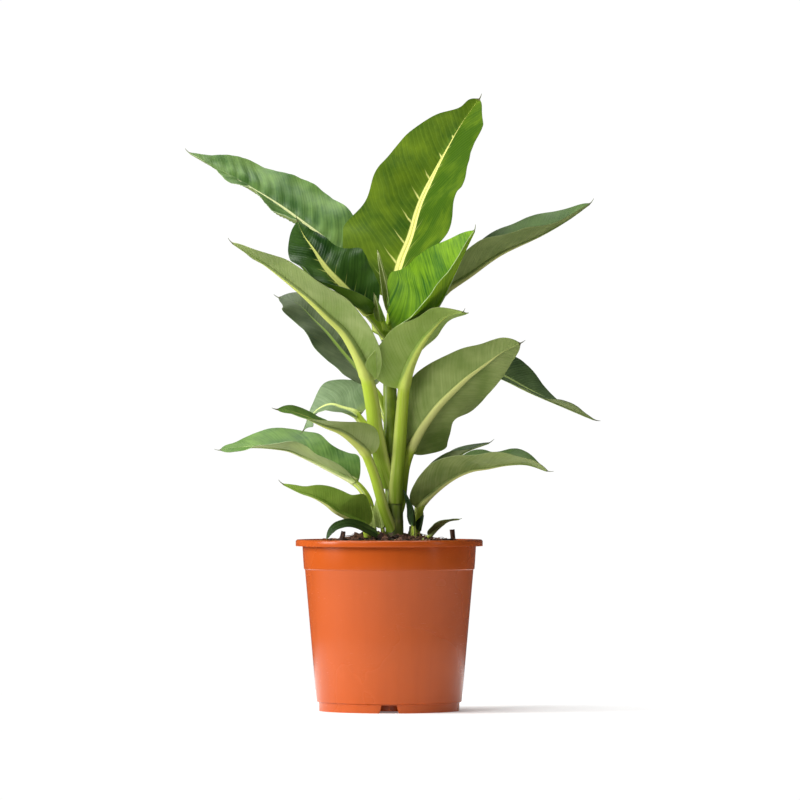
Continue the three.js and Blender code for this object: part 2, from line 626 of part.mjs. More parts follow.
    right: half(9, [0.4, 0.6, 1.2, 0.9], [10, 10, 10]),
  }),
  bract_right: blade([[22.5, -4, 153], [21.5, -6, 168.5], [20, -8, 184], [13.5, -9, 199]],
    [2, 1.6], 4.5, [-0.7, -0.5, 0.2], 30, 0, 'leaf'),
  bract_small: blade([[24.5, 2, 155], [26.5, 0, 164], [29, -2, 171.5], [30.5, -3, 177.5]],
    [1.8, 1.4], 5, [-0.5, -0.5, 0.5], 30, 0, 'leaf'),
  sheath_left_long: blade([[-5.5, 2, 153], [-6.5, 2, 166], [-9.5, 2, 179.5], [-11, 2, 193]],
    [2, 1.6], 6, [-0.5, -0.7, 0.2], 30, 0, 'sheath'),
  sheath_left_short: blade([[-12, -6, 152.5], [-14, -6, 164], [-15.5, -5, 175], [-16.5, -4, 186]],
    [2, 1.6], 4, [-0.5, -0.7, 0.2], 30, 0, 'sheath'),
  spear_tall: blade([[2, -3.5, 350.5], [1.5, -2.5, 362], [-1, 0, 380.5], [-5.5, 3, 398.5], [-10, 5, 416]],
    [3, 2.5], 6, [-0.5, -0.8, 0.2], 50, 40, 'youngLeaf'),
  spear_short: blade([[-2.5, -11, 343], [-6.5, -17, 354.5], [-9.5, -20, 365.5], [-13, -22, 376.5]],
    [2.5, 2], 6, [-0.5, -0.8, 0.2], 50, 40, 'youngLeaf'),
};

const STUBS = {
  bark_stub_right: { foot: [58.5, -12, 154], height: 21, radius: 2.3, lean: -0.12 },
  bark_stub_left: { foot: [-43, -22, 156], height: 14, radius: 2.2, lean: 0.25 },
};

// ---- assembly ----

const plant = new THREE.Group();
plant.add(toMesh('pot', makePot(), FINISH.pot));

const grownPieces = [];
Object.entries(STEMS).forEach(([name, stem]) => {
  plant.add(toMesh(name, makeStem(stem), FINISH.stem));
  grownPieces.push(makeStem(stem, GAP));
});

// Each leaf is cut back by what stands beside it already, so that it springs from its stem.
Object.entries(LEAVES).forEach(([name, spec]) => {
  const body = grownPieces.reduce((rest, other) => rest.subtract(other), makeLeaf(spec));
  plant.add(toMesh(name, biggestBody(body), FINISH[spec.finish]));
  grownPieces.push(makeLeaf(spec, GAP));
});

Object.entries(STUBS).forEach(([name, stub]) => {
  plant.add(toMesh(name, toSolid(barkStub(stub)), FINISH.bark));
  const grown = { ...stub, radius: stub.radius + GAP, height: stub.height + 2 * GAP };
  grownPieces.push(toSolid(barkStub(grown)));
});

plant.add(toMesh('soil', makeSoil(grownPieces), FINISH.soil));

export default plant;
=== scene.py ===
import json
import random
from bisect import bisect_left
from math import atan2, cos, exp, hypot, pi, radians, sin, sqrt, tau
import bpy
from mathutils import Matrix, Vector, noise

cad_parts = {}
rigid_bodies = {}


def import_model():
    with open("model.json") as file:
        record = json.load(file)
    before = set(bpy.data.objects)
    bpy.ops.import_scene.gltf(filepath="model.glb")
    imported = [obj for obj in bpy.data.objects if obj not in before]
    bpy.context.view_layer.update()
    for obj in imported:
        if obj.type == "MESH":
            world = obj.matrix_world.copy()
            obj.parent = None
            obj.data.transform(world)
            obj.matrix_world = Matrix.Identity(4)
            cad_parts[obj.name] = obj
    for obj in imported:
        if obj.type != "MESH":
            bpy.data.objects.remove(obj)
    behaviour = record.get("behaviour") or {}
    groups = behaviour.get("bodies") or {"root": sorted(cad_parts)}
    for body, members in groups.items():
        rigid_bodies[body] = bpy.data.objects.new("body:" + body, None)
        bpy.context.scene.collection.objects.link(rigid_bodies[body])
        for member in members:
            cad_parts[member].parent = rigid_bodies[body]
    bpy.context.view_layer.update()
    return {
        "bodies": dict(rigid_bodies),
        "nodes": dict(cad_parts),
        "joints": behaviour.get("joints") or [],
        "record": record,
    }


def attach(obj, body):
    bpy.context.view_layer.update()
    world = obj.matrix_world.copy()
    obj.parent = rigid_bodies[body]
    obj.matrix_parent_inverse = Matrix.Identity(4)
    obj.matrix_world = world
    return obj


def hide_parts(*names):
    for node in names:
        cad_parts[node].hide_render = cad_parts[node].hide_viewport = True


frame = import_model()
bpy.ops.object.select_all(action="DESELECT")
mm = 0.001  # shapes below are in millimetres, as in the part's source


# shader helpers
class Shading:
    # a node tree, with a short call for each kind of node that is used often
    def __init__(self, tree):
        self.tree = tree

    def feed(self, value, socket):
        if isinstance(value, bpy.types.NodeSocket):
            self.tree.links.new(value, socket)
        else:
            socket.default_value = value

    def add(self, kind, inputs=None, **settings):
        node = self.tree.nodes.new(kind)
        for name, value in settings.items():
            setattr(node, name, value)
        for name, value in (inputs or {}).items():
            self.feed(value, node.inputs[name])
        return node

    def place(self):
        return self.add("ShaderNodeTexCoord").outputs["Object"]

    def stretched(self, place, upright):
        return self.add("ShaderNodeMapping", {0: place, 3: (1.0, 1.0, upright)}).outputs[0]

    def axes(self, vector):
        return self.add("ShaderNodeSeparateXYZ", {0: vector}).outputs

    def attribute(self, name, output="Fac"):
        return self.add("ShaderNodeAttribute", attribute_name=name).outputs[output]

    def cloud(self, place, scale, detail):
        inputs = {"Vector": place, "Scale": scale, "Detail": detail}
        return self.add("ShaderNodeTexNoise", inputs).outputs["Fac"]

    def combine(self, operation, a, b=0.5, clamp=False):
        return self.add("ShaderNodeMath", {0: a, 1: b}, operation=operation, use_clamp=clamp).outputs[0]

    def plus(self, a, b, clamp=False):
        return self.combine("ADD", a, b, clamp)

    def minus(self, a, b):
        return self.combine("SUBTRACT", a, b)

    def times(self, a, b):
        return self.combine("MULTIPLY", a, b)

    def fromMiddle(self, value):
        # 0 half way between two whole numbers, 0.5 at each whole number
        return self.combine("ABSOLUTE", self.minus(self.combine("FRACT", value), 0.5))

    def ramp(self, value, low, high, start=0.0, end=1.0):
        inputs = {"Value": value, "From Min": low, "From Max": high, "To Min": start, "To Max": end}
        return self.add("ShaderNodeMapRange", inputs, interpolation_type="SMOOTHSTEP").outputs[0]

    def blend(self, share, first, second):
        node = self.add("ShaderNodeMix", data_type="RGBA")
        for number, value in ((0, share), (6, first), (7, second)):
            self.feed((*value, 1) if isinstance(value, tuple) else value, node.inputs[number])
        return node.outputs[2]

    def surface(self, color, rough, relief=(), gloss=0.5):
        # relief is a height, its strength and its distance
        shader = self.tree.nodes["Principled BSDF"].inputs
        self.feed(color, shader["Base Color"])
        self.feed(rough, shader["Roughness"])
        shader["Specular IOR Level"].default_value = gloss
        if relief:
            bump = self.add("ShaderNodeBump", dict(zip(("Height", "Strength", "Distance"), relief)))
            self.feed(bump.outputs[0], shader["Normal"])


def newMaterial(name):
    material = bpy.data.materials.new(name)
    material.use_nodes = True
    return material, Shading(material.node_tree)


# camera, floor and light
cameraView = {"place": (0.0098, -5.4, 0.226), "target": (0.0098, 0, 0.2822), "lens": 267.3, "sensor": 36,
              "reach": 100}
studio = {
    "floor": {"radius": 0.5, "color": (0.93, 0.93, 0.93, 1), "rough": 0.85, "glow": 0.14},
    "sky": {"light": 0.1, "seen": 1.02},
    "aim": (0, 0, 0.25),
    "lamps": [
        {"name": "keyLeft", "place": (-2.05, -0.42, 0.95), "size": (0.9, 1.6), "power": 50},
        {"name": "topPanel", "place": (-0.2, 0.35, 2.3), "size": (2.0, 1.6), "power": 50},
        {"name": "frontFill", "place": (-1.1, -1.4, 1.05), "size": (0.9, 0.9), "power": 26},
        {"name": "sideRight", "place": (1.6, -0.9, 0.6), "size": (0.15, 1.2), "power": 2},
    ],
}


def lookAt(item, place, target):
    item.location = place
    item.rotation_euler = (Vector(target) - Vector(place)).to_track_quat("-Z", "Y").to_euler()


def makeCamera():
    bpy.ops.object.camera_add()
    camera = bpy.context.object
    camera.name = "camera"
    camera.data.lens = cameraView["lens"]
    camera.data.sensor_width = cameraView["sensor"]
    camera.data.clip_end = cameraView["reach"]
    lookAt(camera, cameraView["place"], cameraView["target"])
    bpy.context.scene.camera = camera


def makeFloor():
    settings = studio["floor"]
    bpy.ops.mesh.primitive_circle_add(vertices=96, radius=settings["radius"], fill_type="NGON")
    floor = bpy.context.object
    floor.name = "studioFloor"
    paper, s = newMaterial("floorPaper")
    s.surface(settings["color"], settings["rough"])
    shader = s.tree.nodes["Principled BSDF"].inputs
    shader["Emission Color"].default_value = (1, 1, 1, 1)
    shader["Emission Strength"].default_value = settings["glow"]
    floor.data.materials.append(paper)


def makeLight():
    for lamp in studio["lamps"]:
        bpy.ops.object.light_add(type="AREA")
        light = bpy.context.object
        light.name = lamp["name"]
        light.data.shape = "RECTANGLE"
        light.data.size, light.data.size_y = lamp["size"]
        light.data.energy = lamp["power"]
        lookAt(light, lamp["place"], studio["aim"])
    # the sky is white behind the plant and softer as a light
    world = bpy.data.worlds.new("studioSky")
    bpy.context.scene.world = world
    world.use_nodes = True
    world.node_tree.nodes.clear()
    s = Shading(world.node_tree)
    seen = s.add("ShaderNodeLightPath").outputs["Is Camera Ray"]
    limits = {"Value": seen, "To Min": studio["sky"]["light"], "To Max": studio["sky"]["seen"]}
    strength = s.add("ShaderNodeMapRange", limits).outputs[0]
    glow = s.add("ShaderNodeBackground", {"Color": (1, 1, 1, 1), "Strength": strength})
    s.add("ShaderNodeOutputWorld", {"Surface": glow.outputs[0]})
    bpy.context.scene.view_settings.view_transform = "Standard"
    print("camera, floor and light done")


# leaf finishes: colours are linear; deep and bright mix in clouds and streaks
lookFields = ("deep", "bright", "vein", "rib", "underDeep", "underBright", "edge",
              "rough", "gloss", "spur", "veinShare", "streak", "rightPaintedShade")
# the last field darkens the right half of a blade: painted shade standing in for less light on that side
leafLooks = {
    "crown": ((0.032, 0.08, 0.003), (0.11, 0.18, 0.006), (0.16, 0.26, 0.02), (0.7, 0.69, 0.21),
              (0.13, 0.24, 0.02), (0.24, 0.38, 0.05), (0.3, 0.42, 0.08), 0.52, 0.06, 1.0, 0.16, 1.0, -0.35),
    "bright": ((0.03, 0.08, 0.002), (0.095, 0.165, 0.006), (0.16, 0.26, 0.02), (0.6, 0.66, 0.21),
               (0.13, 0.24, 0.02), (0.24, 0.38, 0.05), (0.3, 0.42, 0.08), 0.5, 0.08, 0.6, 0.14),
    "fresh": ((0.028, 0.12, 0.002), (0.19, 0.36, 0.008), (0.3, 0.52, 0.06), (0.6, 0.74, 0.34),
              (0.2, 0.42, 0.008), (0.42, 0.66, 0.03), (0.6, 0.76, 0.34), 0.45, 0.1, 0.1, 0.12, 2.2),
    "dark": ((0.008, 0.038, 0.003), (0.052, 0.125, 0.014), (0.07, 0.15, 0.03), (0.78, 0.82, 0.22),
             (0.09, 0.17, 0.014), (0.16, 0.25, 0.04), (0.06, 0.12, 0.03), 0.36, 0.24, 0.8, 0.05),
    "shadow": ((0.012, 0.034, 0.006), (0.04, 0.08, 0.02), (0.07, 0.12, 0.04), (0.06, 0.12, 0.03),
               (0.04, 0.08, 0.014), (0.08, 0.13, 0.03), (0.05, 0.09, 0.025), 0.42, 0.25, 0.0, 0.1),
    "sage": ((0.04, 0.115, 0.018), (0.165, 0.29, 0.062), (0.22, 0.36, 0.12), (0.7, 0.74, 0.34),
             (0.2, 0.28, 0.07), (0.33, 0.41, 0.14), (0.28, 0.38, 0.15), 0.46, 0.2, 0.3, 0.08),
    "misty": ((0.11, 0.18, 0.075), (0.24, 0.33, 0.17), (0.3, 0.38, 0.22), (0.62, 0.7, 0.24),
              (0.2, 0.28, 0.09), (0.33, 0.41, 0.18), (0.28, 0.38, 0.17), 0.46, 0.2, 0.1, 0.12),
    "dusky": ((0.032, 0.07, 0.018), (0.095, 0.158, 0.045), (0.14, 0.21, 0.08), (0.42, 0.54, 0.16),
              (0.15, 0.21, 0.06), (0.26, 0.32, 0.11), (0.14, 0.22, 0.08), 0.44, 0.22, 0.2, 0.3),
    "slate": ((0.06, 0.095, 0.042), (0.185, 0.23, 0.125), (0.22, 0.28, 0.15), (0.36, 0.52, 0.1),
              (0.15, 0.21, 0.06), (0.26, 0.32, 0.11), (0.16, 0.24, 0.09), 0.44, 0.22, 0.2, 0.2),
    "pale": ((0.07, 0.16, 0.025), (0.15, 0.27, 0.05), (0.24, 0.34, 0.1), (0.56, 0.62, 0.14),
             (0.19, 0.27, 0.062), (0.3, 0.37, 0.13), (0.32, 0.38, 0.12), 0.5, 0.15, 0.1, 0.05),
    "lime": ((0.09, 0.19, 0.025), (0.18, 0.32, 0.05), (0.26, 0.38, 0.1), (0.6, 0.7, 0.14),
             (0.27, 0.41, 0.072), (0.4, 0.53, 0.135), (0.4, 0.48, 0.15), 0.5, 0.15, 0.1, 0.05),
    "olive": ((0.055, 0.11, 0.024), (0.11, 0.19, 0.05), (0.19, 0.26, 0.09), (0.58, 0.6, 0.2),
              (0.185, 0.26, 0.06), (0.33, 0.4, 0.13), (0.24, 0.3, 0.1), 0.5, 0.15, 0.1, 0.07),
    "sheath": ((0.22, 0.3, 0.06), (0.42, 0.5, 0.15), (0.46, 0.54, 0.2), (0.4, 0.5, 0.14),
               (0.24, 0.32, 0.07), (0.42, 0.5, 0.16), (0.46, 0.5, 0.2), 0.5, 0.2, 0.0, 0.2),
}
leafSkin = {
    "spurWidth": 0.07, "spurReach": 5.5, "cloudShare": 2.4, "middleTone": 0.5, "dryTip": (0.1, 0.1, 0.035),
    "stalkLow": (0.2, 0.31, 0.02), "stalkHigh": (0.42, 0.55, 0.045), "stalkEdge": (0.6, 0.66, 0.18),
    "upper": {"veinRise": -0.5}, "under": {"veinRise": 0.7, "spur": 0.1, "rough": 0.55, "gloss": 0.15},
    "relief": (0.35, 0.0004), "edgeScale": 120.0, "edgeRough": 0.5, "edgeDull": 0.6,
}


def makeLeafFigure():
    # X of Lines counts the side veins, Y is the distance from the midrib in rib widths, Z goes -1 to 1 across
    group = bpy.data.node_groups.new("leafFigure", "ShaderNodeTree")
    for label, kind in (("Lines", "Vector"), ("Spur Width", "Float"), ("Spur Reach", "Float")):
        group.interface.new_socket(name=label, in_out="INPUT", socket_type="NodeSocket" + kind)
    for label in ("Rib", "Vein", "Spur", "Streak", "Cloud"):
        group.interface.new_socket(name=label, in_out="OUTPUT", socket_type="NodeSocketFloat")
    s = Shading(group)
    given = s.add("NodeGroupInput").outputs
    place = s.place()
    number, ribRatio, across = s.axes(given["Lines"])
    number = s.plus(number, s.times(s.cloud(place, 60.0, 1.0), 0.22))
    vein = s.ramp(s.fromMiddle(s.times(number, 4.0)), 0.26, 0.5)
    spur = s.combine("DIVIDE", s.minus(s.fromMiddle(number), 0.5), given["Spur Width"])
    spur = s.plus(spur, s.ramp(ribRatio, 1.0, given["Spur Reach"], 1, 0), clamp=True)
    spur = s.times(spur, s.ramp(across, -0.02, 0.02, 1.0, 0.35))
    rib = s.ramp(ribRatio, 0.75, 1.1, 1, 0)
    streakPlace = s.add("ShaderNodeVectorMath", {0: given["Lines"], 1: (5.0, 0.0, 1.2)}, operation="MULTIPLY")
    streak = s.cloud(streakPlace.outputs[0], 1.0, 2.0)
    s.add("NodeGroupOutput", {"Rib": rib, "Vein": vein, "Spur": spur, "Streak": streak,
                              "Cloud": s.cloud(place, 38.0, 3.0)})
    return group


def leafMaterial(name, look, side, figureGroup):
    material, s = newMaterial(name)
    look = look | leafSkin[side]
    lines = s.attribute("veinLines", "Vector")
    along = s.attribute("bladeShare")
    across = s.axes(lines)[2]
    sizes = {"Lines": lines, "Spur Width": leafSkin["spurWidth"], "Spur Reach": leafSkin["spurReach"]}
    figure = s.add("ShaderNodeGroup", sizes, node_tree=figureGroup).outputs
    deep, bright = ("deep", "bright") if side == "upper" else ("underDeep", "underBright")
    streak = s.times(s.minus(figure["Streak"], 0.5), look["streak"])
    cloud = s.times(s.minus(figure["Cloud"], 0.5), leafSkin["cloudShare"])
    # painted shade: the right half can be painted deeper than the left, to darken the side that the key light
    # brightens
    middle = leafSkin["middleTone"]
    level = s.ramp(across, 0.0, 0.12, middle, middle + look["rightPaintedShade"])
    flesh = s.blend(s.plus(s.plus(streak, cloud), level, clamp=True), look[deep], look[bright])
    flesh = s.blend(s.times(figure["Vein"], look["veinShare"]), flesh, look["vein"])
    pale = s.combine("MAXIMUM", figure["Rib"], s.times(figure["Spur"], look["spur"]))
    blade = s.blend(pale, flesh, look["rib"])
    blade = s.blend(s.ramp(along, 0.985, 1.05), blade, leafSkin["dryTip"])
    # stalk: fibres run along it, and its two edges are paler
    fibrePlace = s.add("ShaderNodeCombineXYZ", {0: s.times(across, 7.0), 1: s.times(along, 2.5)})
    fibre = s.cloud(fibrePlace.outputs[0], 1.0, 2.0)
    stalk = s.blend(s.ramp(along, -1.0, 0.0), leafSkin["stalkLow"], leafSkin["stalkHigh"])
    stalk = s.blend(s.ramp(s.combine("ABSOLUTE", across), 0.7, 1.0, 0, 0.75), stalk, leafSkin["stalkEdge"])
    stalk = s.blend(s.ramp(fibre, 0.45, 0.75, 0, 0.35), stalk, leafSkin["stalkEdge"])
    onBlade = s.ramp(along, -0.10, 0.04)
    # fine relief: side veins are sunk on the upper side and raised underneath
    height = s.plus(s.times(figure["Streak"], 0.25), s.times(figure["Vein"], look["veinRise"]))
    height = s.plus(s.times(height, onBlade), s.times(fibre, s.minus(1.0, onBlade)))
    rough = s.ramp(figure["Cloud"], 0.3, 0.7, look["rough"] - 0.04, look["rough"] + 0.06)
    s.surface(s.blend(onBlade, stalk, blade), rough, (height, *leafSkin["relief"]), look["gloss"])
    return material


def edgeMaterial(name, look):
    material, s = newMaterial(name)
    share = s.ramp(s.cloud(s.place(), leafSkin["edgeScale"], 2.0), 0.3, 0.7)
    dull = tuple(leafSkin["edgeDull"] * value for value in look["edge"])
    s.surface(s.blend(share, dull, look["edge"]), leafSkin["edgeRough"])
    return material


def makeLeafMaterials():
    figureGroup = makeLeafFigure()
    finishes = {}
    for name, values in leafLooks.items():
        look = {"streak": 1.0, "rightPaintedShade": 0.0} | dict(zip(lookFields, values))
        finishes[name] = [leafMaterial(name + "Upper", look, "upper", figureGroup),
                          leafMaterial(name + "Under", look, "under", figureGroup),
                          edgeMaterial(name + "Edge", look)]
    return finishes


# other finishes
stemSkin = {"low": ((0.022, 0.021, 0.005), (0.046, 0.054, 0.009)), "greenFrom": (0.16, 0.205),
            "high": ((0.13, 0.2, 0.01), (0.23, 0.32, 0.02)), "fibre": (0.36, 0.44, 0.1),
            "scar": (0.16, 0.13, 0.05), "rough": 0.42}
potSkin = {"body": ((0.43, 0.072, 0.006), (0.47, 0.083, 0.008)), "band": (0.38, 0.062, 0.005),
           "scuff": (0.56, 0.14, 0.04), "rough": (0.24, 0.30), "gloss": 0.35}
soilSkins = {"darkPeat": ((0.01, 0.006, 0.004), (0.06, 0.034, 0.02), 420.0),
             "barkChips": ((0.028, 0.012, 0.007), (0.19, 0.085, 0.045), 260.0),
             "coirFibre": ((0.16, 0.065, 0.035), (0.4, 0.2, 0.11), 150.0)}


def stemMaterial():
    material, s = newMaterial("caneSkin")
    place = s.place()
    fibre = s.cloud(s.stretched(place, 0.12), 420.0, 3.0)
    patch = s.cloud(place, 55.0, 4.0)
    low = s.blend(s.ramp(patch, 0.4, 0.65), *stemSkin["low"])
    high = s.blend(s.ramp(patch, 0.35, 0.7), *stemSkin["high"])
    climb = s.plus(s.axes(place)[2], s.times(patch, 0.018))
    skin = s.blend(s.ramp(climb, *stemSkin["greenFrom"]), low, high)
    skin = s.blend(s.ramp(fibre, 0.5, 0.8, 0, 0.3), skin, stemSkin["fibre"])
    skin = s.blend(s.times(s.attribute("leafScar"), 0.6), skin, stemSkin["scar"])
    s.surface(skin, stemSkin["rough"], (fibre, 0.4, 0.0005))
    return material


def potMaterial():
    material, s = newMaterial("terracottaPlastic")
    place = s.place()
    cloud = s.cloud(place, 9.0, 3.0)
    # the melt leaves faint upright bands, and handling leaves faint level scuffs
    band = s.cloud(s.stretched(place, 0.05), 90.0, 2.0)
    scuff = s.cloud(s.stretched(place, 9.0), 160.0, 4.0)
    peel = s.cloud(place, 900.0, 1.0)
    color = s.blend(s.ramp(cloud, 0.3, 0.7), *potSkin["body"])
    color = s.blend(s.ramp(band, 0.45, 0.7, 0, 0.25), color, potSkin["band"])
    color = s.blend(s.ramp(scuff, 0.66, 0.85, 0, 0.12), color, potSkin["scuff"])
    rough = s.plus(s.ramp(cloud, 0.3, 0.7, *potSkin["rough"]), s.ramp(scuff, 0.62, 0.85, 0, 0.06))
    height = s.plus(s.times(peel, 0.4), s.times(band, 0.6))
    s.surface(color, rough, (height, 0.10, 0.0004), potSkin["gloss"])
    return material


def soilMaterial(name):
    dark, light, scale = soilSkins[name]
    material, s = newMaterial(name)
    place = s.place()
    grain = s.cloud(place, scale, 8.0)
    cell = s.add("ShaderNodeTexVoronoi", {"Vector": place, "Scale": scale * 0.7}).outputs["Color"]
    tone = s.plus(s.times(grain, 0.7), s.times(s.axes(cell)[0], 0.3))
    s.surface(s.blend(s.ramp(tone, 0.35, 0.75), dark, light), 0.9, (grain, 0.9, 0.0012))
    return material


# modelling helpers
def setMode(mode):
    bpy.ops.object.mode_set(mode=mode)


def finishPiece(piece, name, node, materials, smoothAngle=None):
    piece.name = name
    piece.data.name = name
    piece.data.materials.clear()
    for material in materials:
        piece.data.materials.append(material)
    if smoothAngle:
        onlySelect(piece)
        bpy.ops.object.shade_smooth_by_angle(angle=radians(smoothAngle))
    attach(piece, "root")
    if node:
        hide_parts(node)
    bpy.ops.object.select_all(action="DESELECT")


def onlySelect(*items):
    bpy.ops.object.select_all(action="DESELECT")
    for item in items:
        item.select_set(True)
    bpy.context.view_layer.objects.active = items[0]


def applyModifier(piece, kind, **settings):
    onlySelect(piece)
    modifier = piece.modifiers.new(kind.lower(), kind)
    for name, value in settings.items():
        setattr(modifier, name, value)
    bpy.ops.object.modifier_apply(modifier=modifier.name)


def joinPieces(items):
    onlySelect(*items)
    bpy.ops.object.join()
    return bpy.context.object


def turnedPiece(profile, sides):
    # a disc drawn up ring by ring: each point of the profile is a radius and a height
    (radius, height), *rings = profile
    bpy.ops.mesh.primitive_circle_add(vertices=sides, radius=radius * mm, fill_type="NGON")
    piece = bpy.context.object
    setMode("EDIT")
    bpy.ops.mesh.select_all(action="SELECT")
    bpy.ops.transform.translate(value=(0, 0, height * mm))
    for nextRadius, nextHeight in rings:
        rise = (0, 0, (nextHeight - height) * mm)
        bpy.ops.mesh.extrude_region_move(TRANSFORM_OT_translate={"value": rise})
        grow = nextRadius / radius
        bpy.ops.transform.resize(value=(grow, grow, 1), center_override=(0, 0, nextHeight * mm))
        radius, height = nextRadius, nextHeight
    return piece


def fixNormals(piece):
    setMode("OBJECT")
    onlySelect(piece)
    setMode("EDIT")
    bpy.ops.mesh.select_all(action="SELECT")
    bpy.ops.mesh.remove_doubles(threshold=0.00001)
    bpy.ops.mesh.normals_make_consistent(inside=False)
    setMode("OBJECT")


# pot
potSize = {
    "sides": 144, "smooth": 30, "bevel": {"width": 0.35, "from": 32, "segments": 2},
    "profile": [(64.3, 9), (69.5, 68), (75.0, 128.2), (75.9, 129.6), (77.3, 149.5), (77.3, 154.7),
                (78.0, 155.4), (83.8, 155.4), (85.0, 154.2), (85.0, 149.5), (83.6, 149.5), (83.6, 153.6),
                (78.9, 153.6), (78.9, 149.5), (78.1, 136), (77.6, 129.4), (77.5, 128.8), (76.6, 128.2),
                (71.3, 68), (66.0, 8.6), (65.2, 8.0), (64.2, 7.8), (64.2, 0), (62.6, 0), (62.6, 7)],
    "notches": 4,
    "notch": {"footWidth": 17.8, "topWidth": 13.4, "foot": -1, "top": 7.3, "from": 58, "to": 70},
    "drain": {"count": 6, "sides": 32, "radius": 4, "circle": 38, "level": 8, "deep": 8},
    "web": {"footWidth": 0.8, "topWidth": 0.8, "foot": 2.5, "top": 7.5, "from": 40, "to": 59},
    "ring": {"sides": 96, "inner": 47, "outer": 48, "from": 1.2, "to": 8.4},
}


def cutAway(piece, cutter):
    applyModifier(piece, "BOOLEAN", operation="DIFFERENCE", solver="EXACT", object=cutter)
    bpy.data.objects.remove(cutter)


def footBlock(spec, angle):
    # a block in the foot skirt: a notch's cutter or a web
    bpy.ops.mesh.primitive_cube_add(size=1)
    block = bpy.context.object
    for vertex in block.data.vertices:
        upright = vertex.co.z > 0
        vertex.co.x *= (spec["topWidth"] if upright else spec["footWidth"]) * mm
        vertex.co.y = -(spec["from"] if vertex.co.y > 0 else spec["to"]) * mm
        vertex.co.z = (spec["top"] if upright else spec["foot"]) * mm
    block.data.transform(Matrix.Rotation(angle, 4, "Z"))
    return block


def footRing():
    # a moulded ring under the floor stiffens it and shuts off the view through the notches
    ring = potSize["ring"]
    inner = [(ring["inner"], ring["to"]), (ring["inner"], ring["from"])]
    outer = [(ring["outer"], ring["from"]), (ring["outer"], ring["to"])]
    piece = turnedPiece(inner + outer, ring["sides"])
    fixNormals(piece)
    return piece


def makePot():
    pot = turnedPiece(potSize["profile"], potSize["sides"])
    fixNormals(pot)
    angles = [i * (tau / potSize["notches"]) for i in range(potSize["notches"])]
    for angle in angles:
        cutAway(pot, footBlock(potSize["notch"], angle))
    drain = potSize["drain"]
    for i in range(drain["count"]):
        angle = (i + 0.5) / drain["count"] * tau
        reach = drain["circle"] * mm
        bpy.ops.mesh.primitive_cylinder_add(
            vertices=drain["sides"], radius=drain["radius"] * mm, depth=drain["deep"] * mm,
            location=(reach * cos(angle), reach * sin(angle), drain["level"] * mm))
        bpy.ops.object.transform_apply(location=True)
        cutAway(pot, bpy.context.object)
    bevel = potSize["bevel"]
    applyModifier(pot, "BEVEL", width=bevel["width"] * mm, segments=bevel["segments"], limit_method="ANGLE",
                  angle_limit=radians(bevel["from"]))
    webs = [footBlock(potSize["web"], angle) for angle in angles]
    pot = joinPieces([pot, footRing()] + webs)
    finishPiece(pot, "potMoulding", "pot", [potMaterial()], potSize["smooth"])
    print("pot done", len(pot.data.polygons))


# soil, bark and crumbs
soilSize = {"floor": 9.35, "foot": 64.0, "band": 74.6, "bandHeight": 128.4, "rim": 76.6, "edge": 149.0,
            "crown": 157.0, "insets": 34, "sides": 110, "lump": 1.4, "smooth": 60}
litter = {
    "seed": 7, "reach": 74.5,
    # name, kind of lump, its seeds, count, sizes, how high it sits, how far out it lies, finish
    "kinds": [
        ("soilChips", "chip", range(5), 420, (2.5, 9.0), 0.25, 74.5, "barkChips"),
        ("soilHeap", "chip", range(5, 9), 70, (3.0, 8.0), 0.7, 36, "barkChips"),
        ("soilCrumbs", "crumb", range(10, 14), 1500, (1.0, 3.0), 0.1, 74.5, "darkPeat"),
    ],
    "fibres": {"count": 420, "reach": 70.5, "length": (5, 13), "rise": (0.05, 1.0), "bend": 0.8,
               "waver": 0.25, "sag": 0.75, "radius": 0.28, "steps": 5, "sink": 0.5, "lift": 0.3},
}
stubs = {
    "bark_stub_right": {"foot": (58.5, -12, 154), "height": 21, "radius": 2.3, "lean": -0.12},
    "bark_stub_left": {"foot": (-43, -22, 156), "height": 14, "radius": 2.2, "lean": 0.25},
}


def soilHeight(x, y):
    # the same formula as in the part's source, with finer clods on it
    share = min(1.0, hypot(x, y) / soilSize["rim"])
    mound = soilSize["edge"] + (soilSize["crown"] - soilSize["edge"]) * cos(share * pi / 2)
    lumps = sin(x * 0.21 + 1) * cos(y * 0.18) + 0.6 * sin(x * 0.47 - y * 0.39)
    clods = 2.2 * noise.noise(Vector((x, y, 3)) * 0.16) + 1.2 * noise.noise(Vector((x, y, 8)) * 0.45)
    return mound + (soilSize["lump"] * lumps + clods) * (1 - 0.7 * share ** 6)


def makeSoilBody():
    s = soilSize
    profile = [(s["foot"], s["floor"]), (s["band"], s["bandHeight"]), (s["rim"], s["edge"])]
    body = turnedPiece(profile, s["sides"])
    for i in range(s["insets"]):
        bpy.ops.mesh.inset(thickness=s["rim"] / (s["insets"] + 1) * mm)
    bpy.ops.mesh.poke()
    fixNormals(body)
    for vertex in body.data.vertices:
        if vertex.co.z > (s["edge"] - 1) * mm:
            vertex.co.z = soilHeight(vertex.co.x / mm, vertex.co.y / mm) * mm
    return body


def roughLump(kind, seed):
    # a bevelled block or a small ball, pushed about so that no two sides match
    draw = random.Random(seed)
    if kind == "chip":
        bpy.ops.mesh.primitive_cube_add(size=1)
        applyModifier(bpy.context.object, "BEVEL", width=0.16, segments=1)
    else:
        bpy.ops.mesh.primitive_ico_sphere_add(subdivisions=1, radius=0.55)
    lump = bpy.context.object
    for vertex in lump.data.vertices:
        vertex.co *= draw.uniform(0.72, 1.15)
    return lump


def drawPlace(draw, reach, nearest):
    # a place on the soil; nearest is the share of its area that stays free in the middle
    away = reach * sqrt(draw.uniform(nearest, 1.0))
    angle = draw.uniform(0, tau)
    x, y = away * cos(angle), away * sin(angle)
    return x, y, soilHeight(x, y)


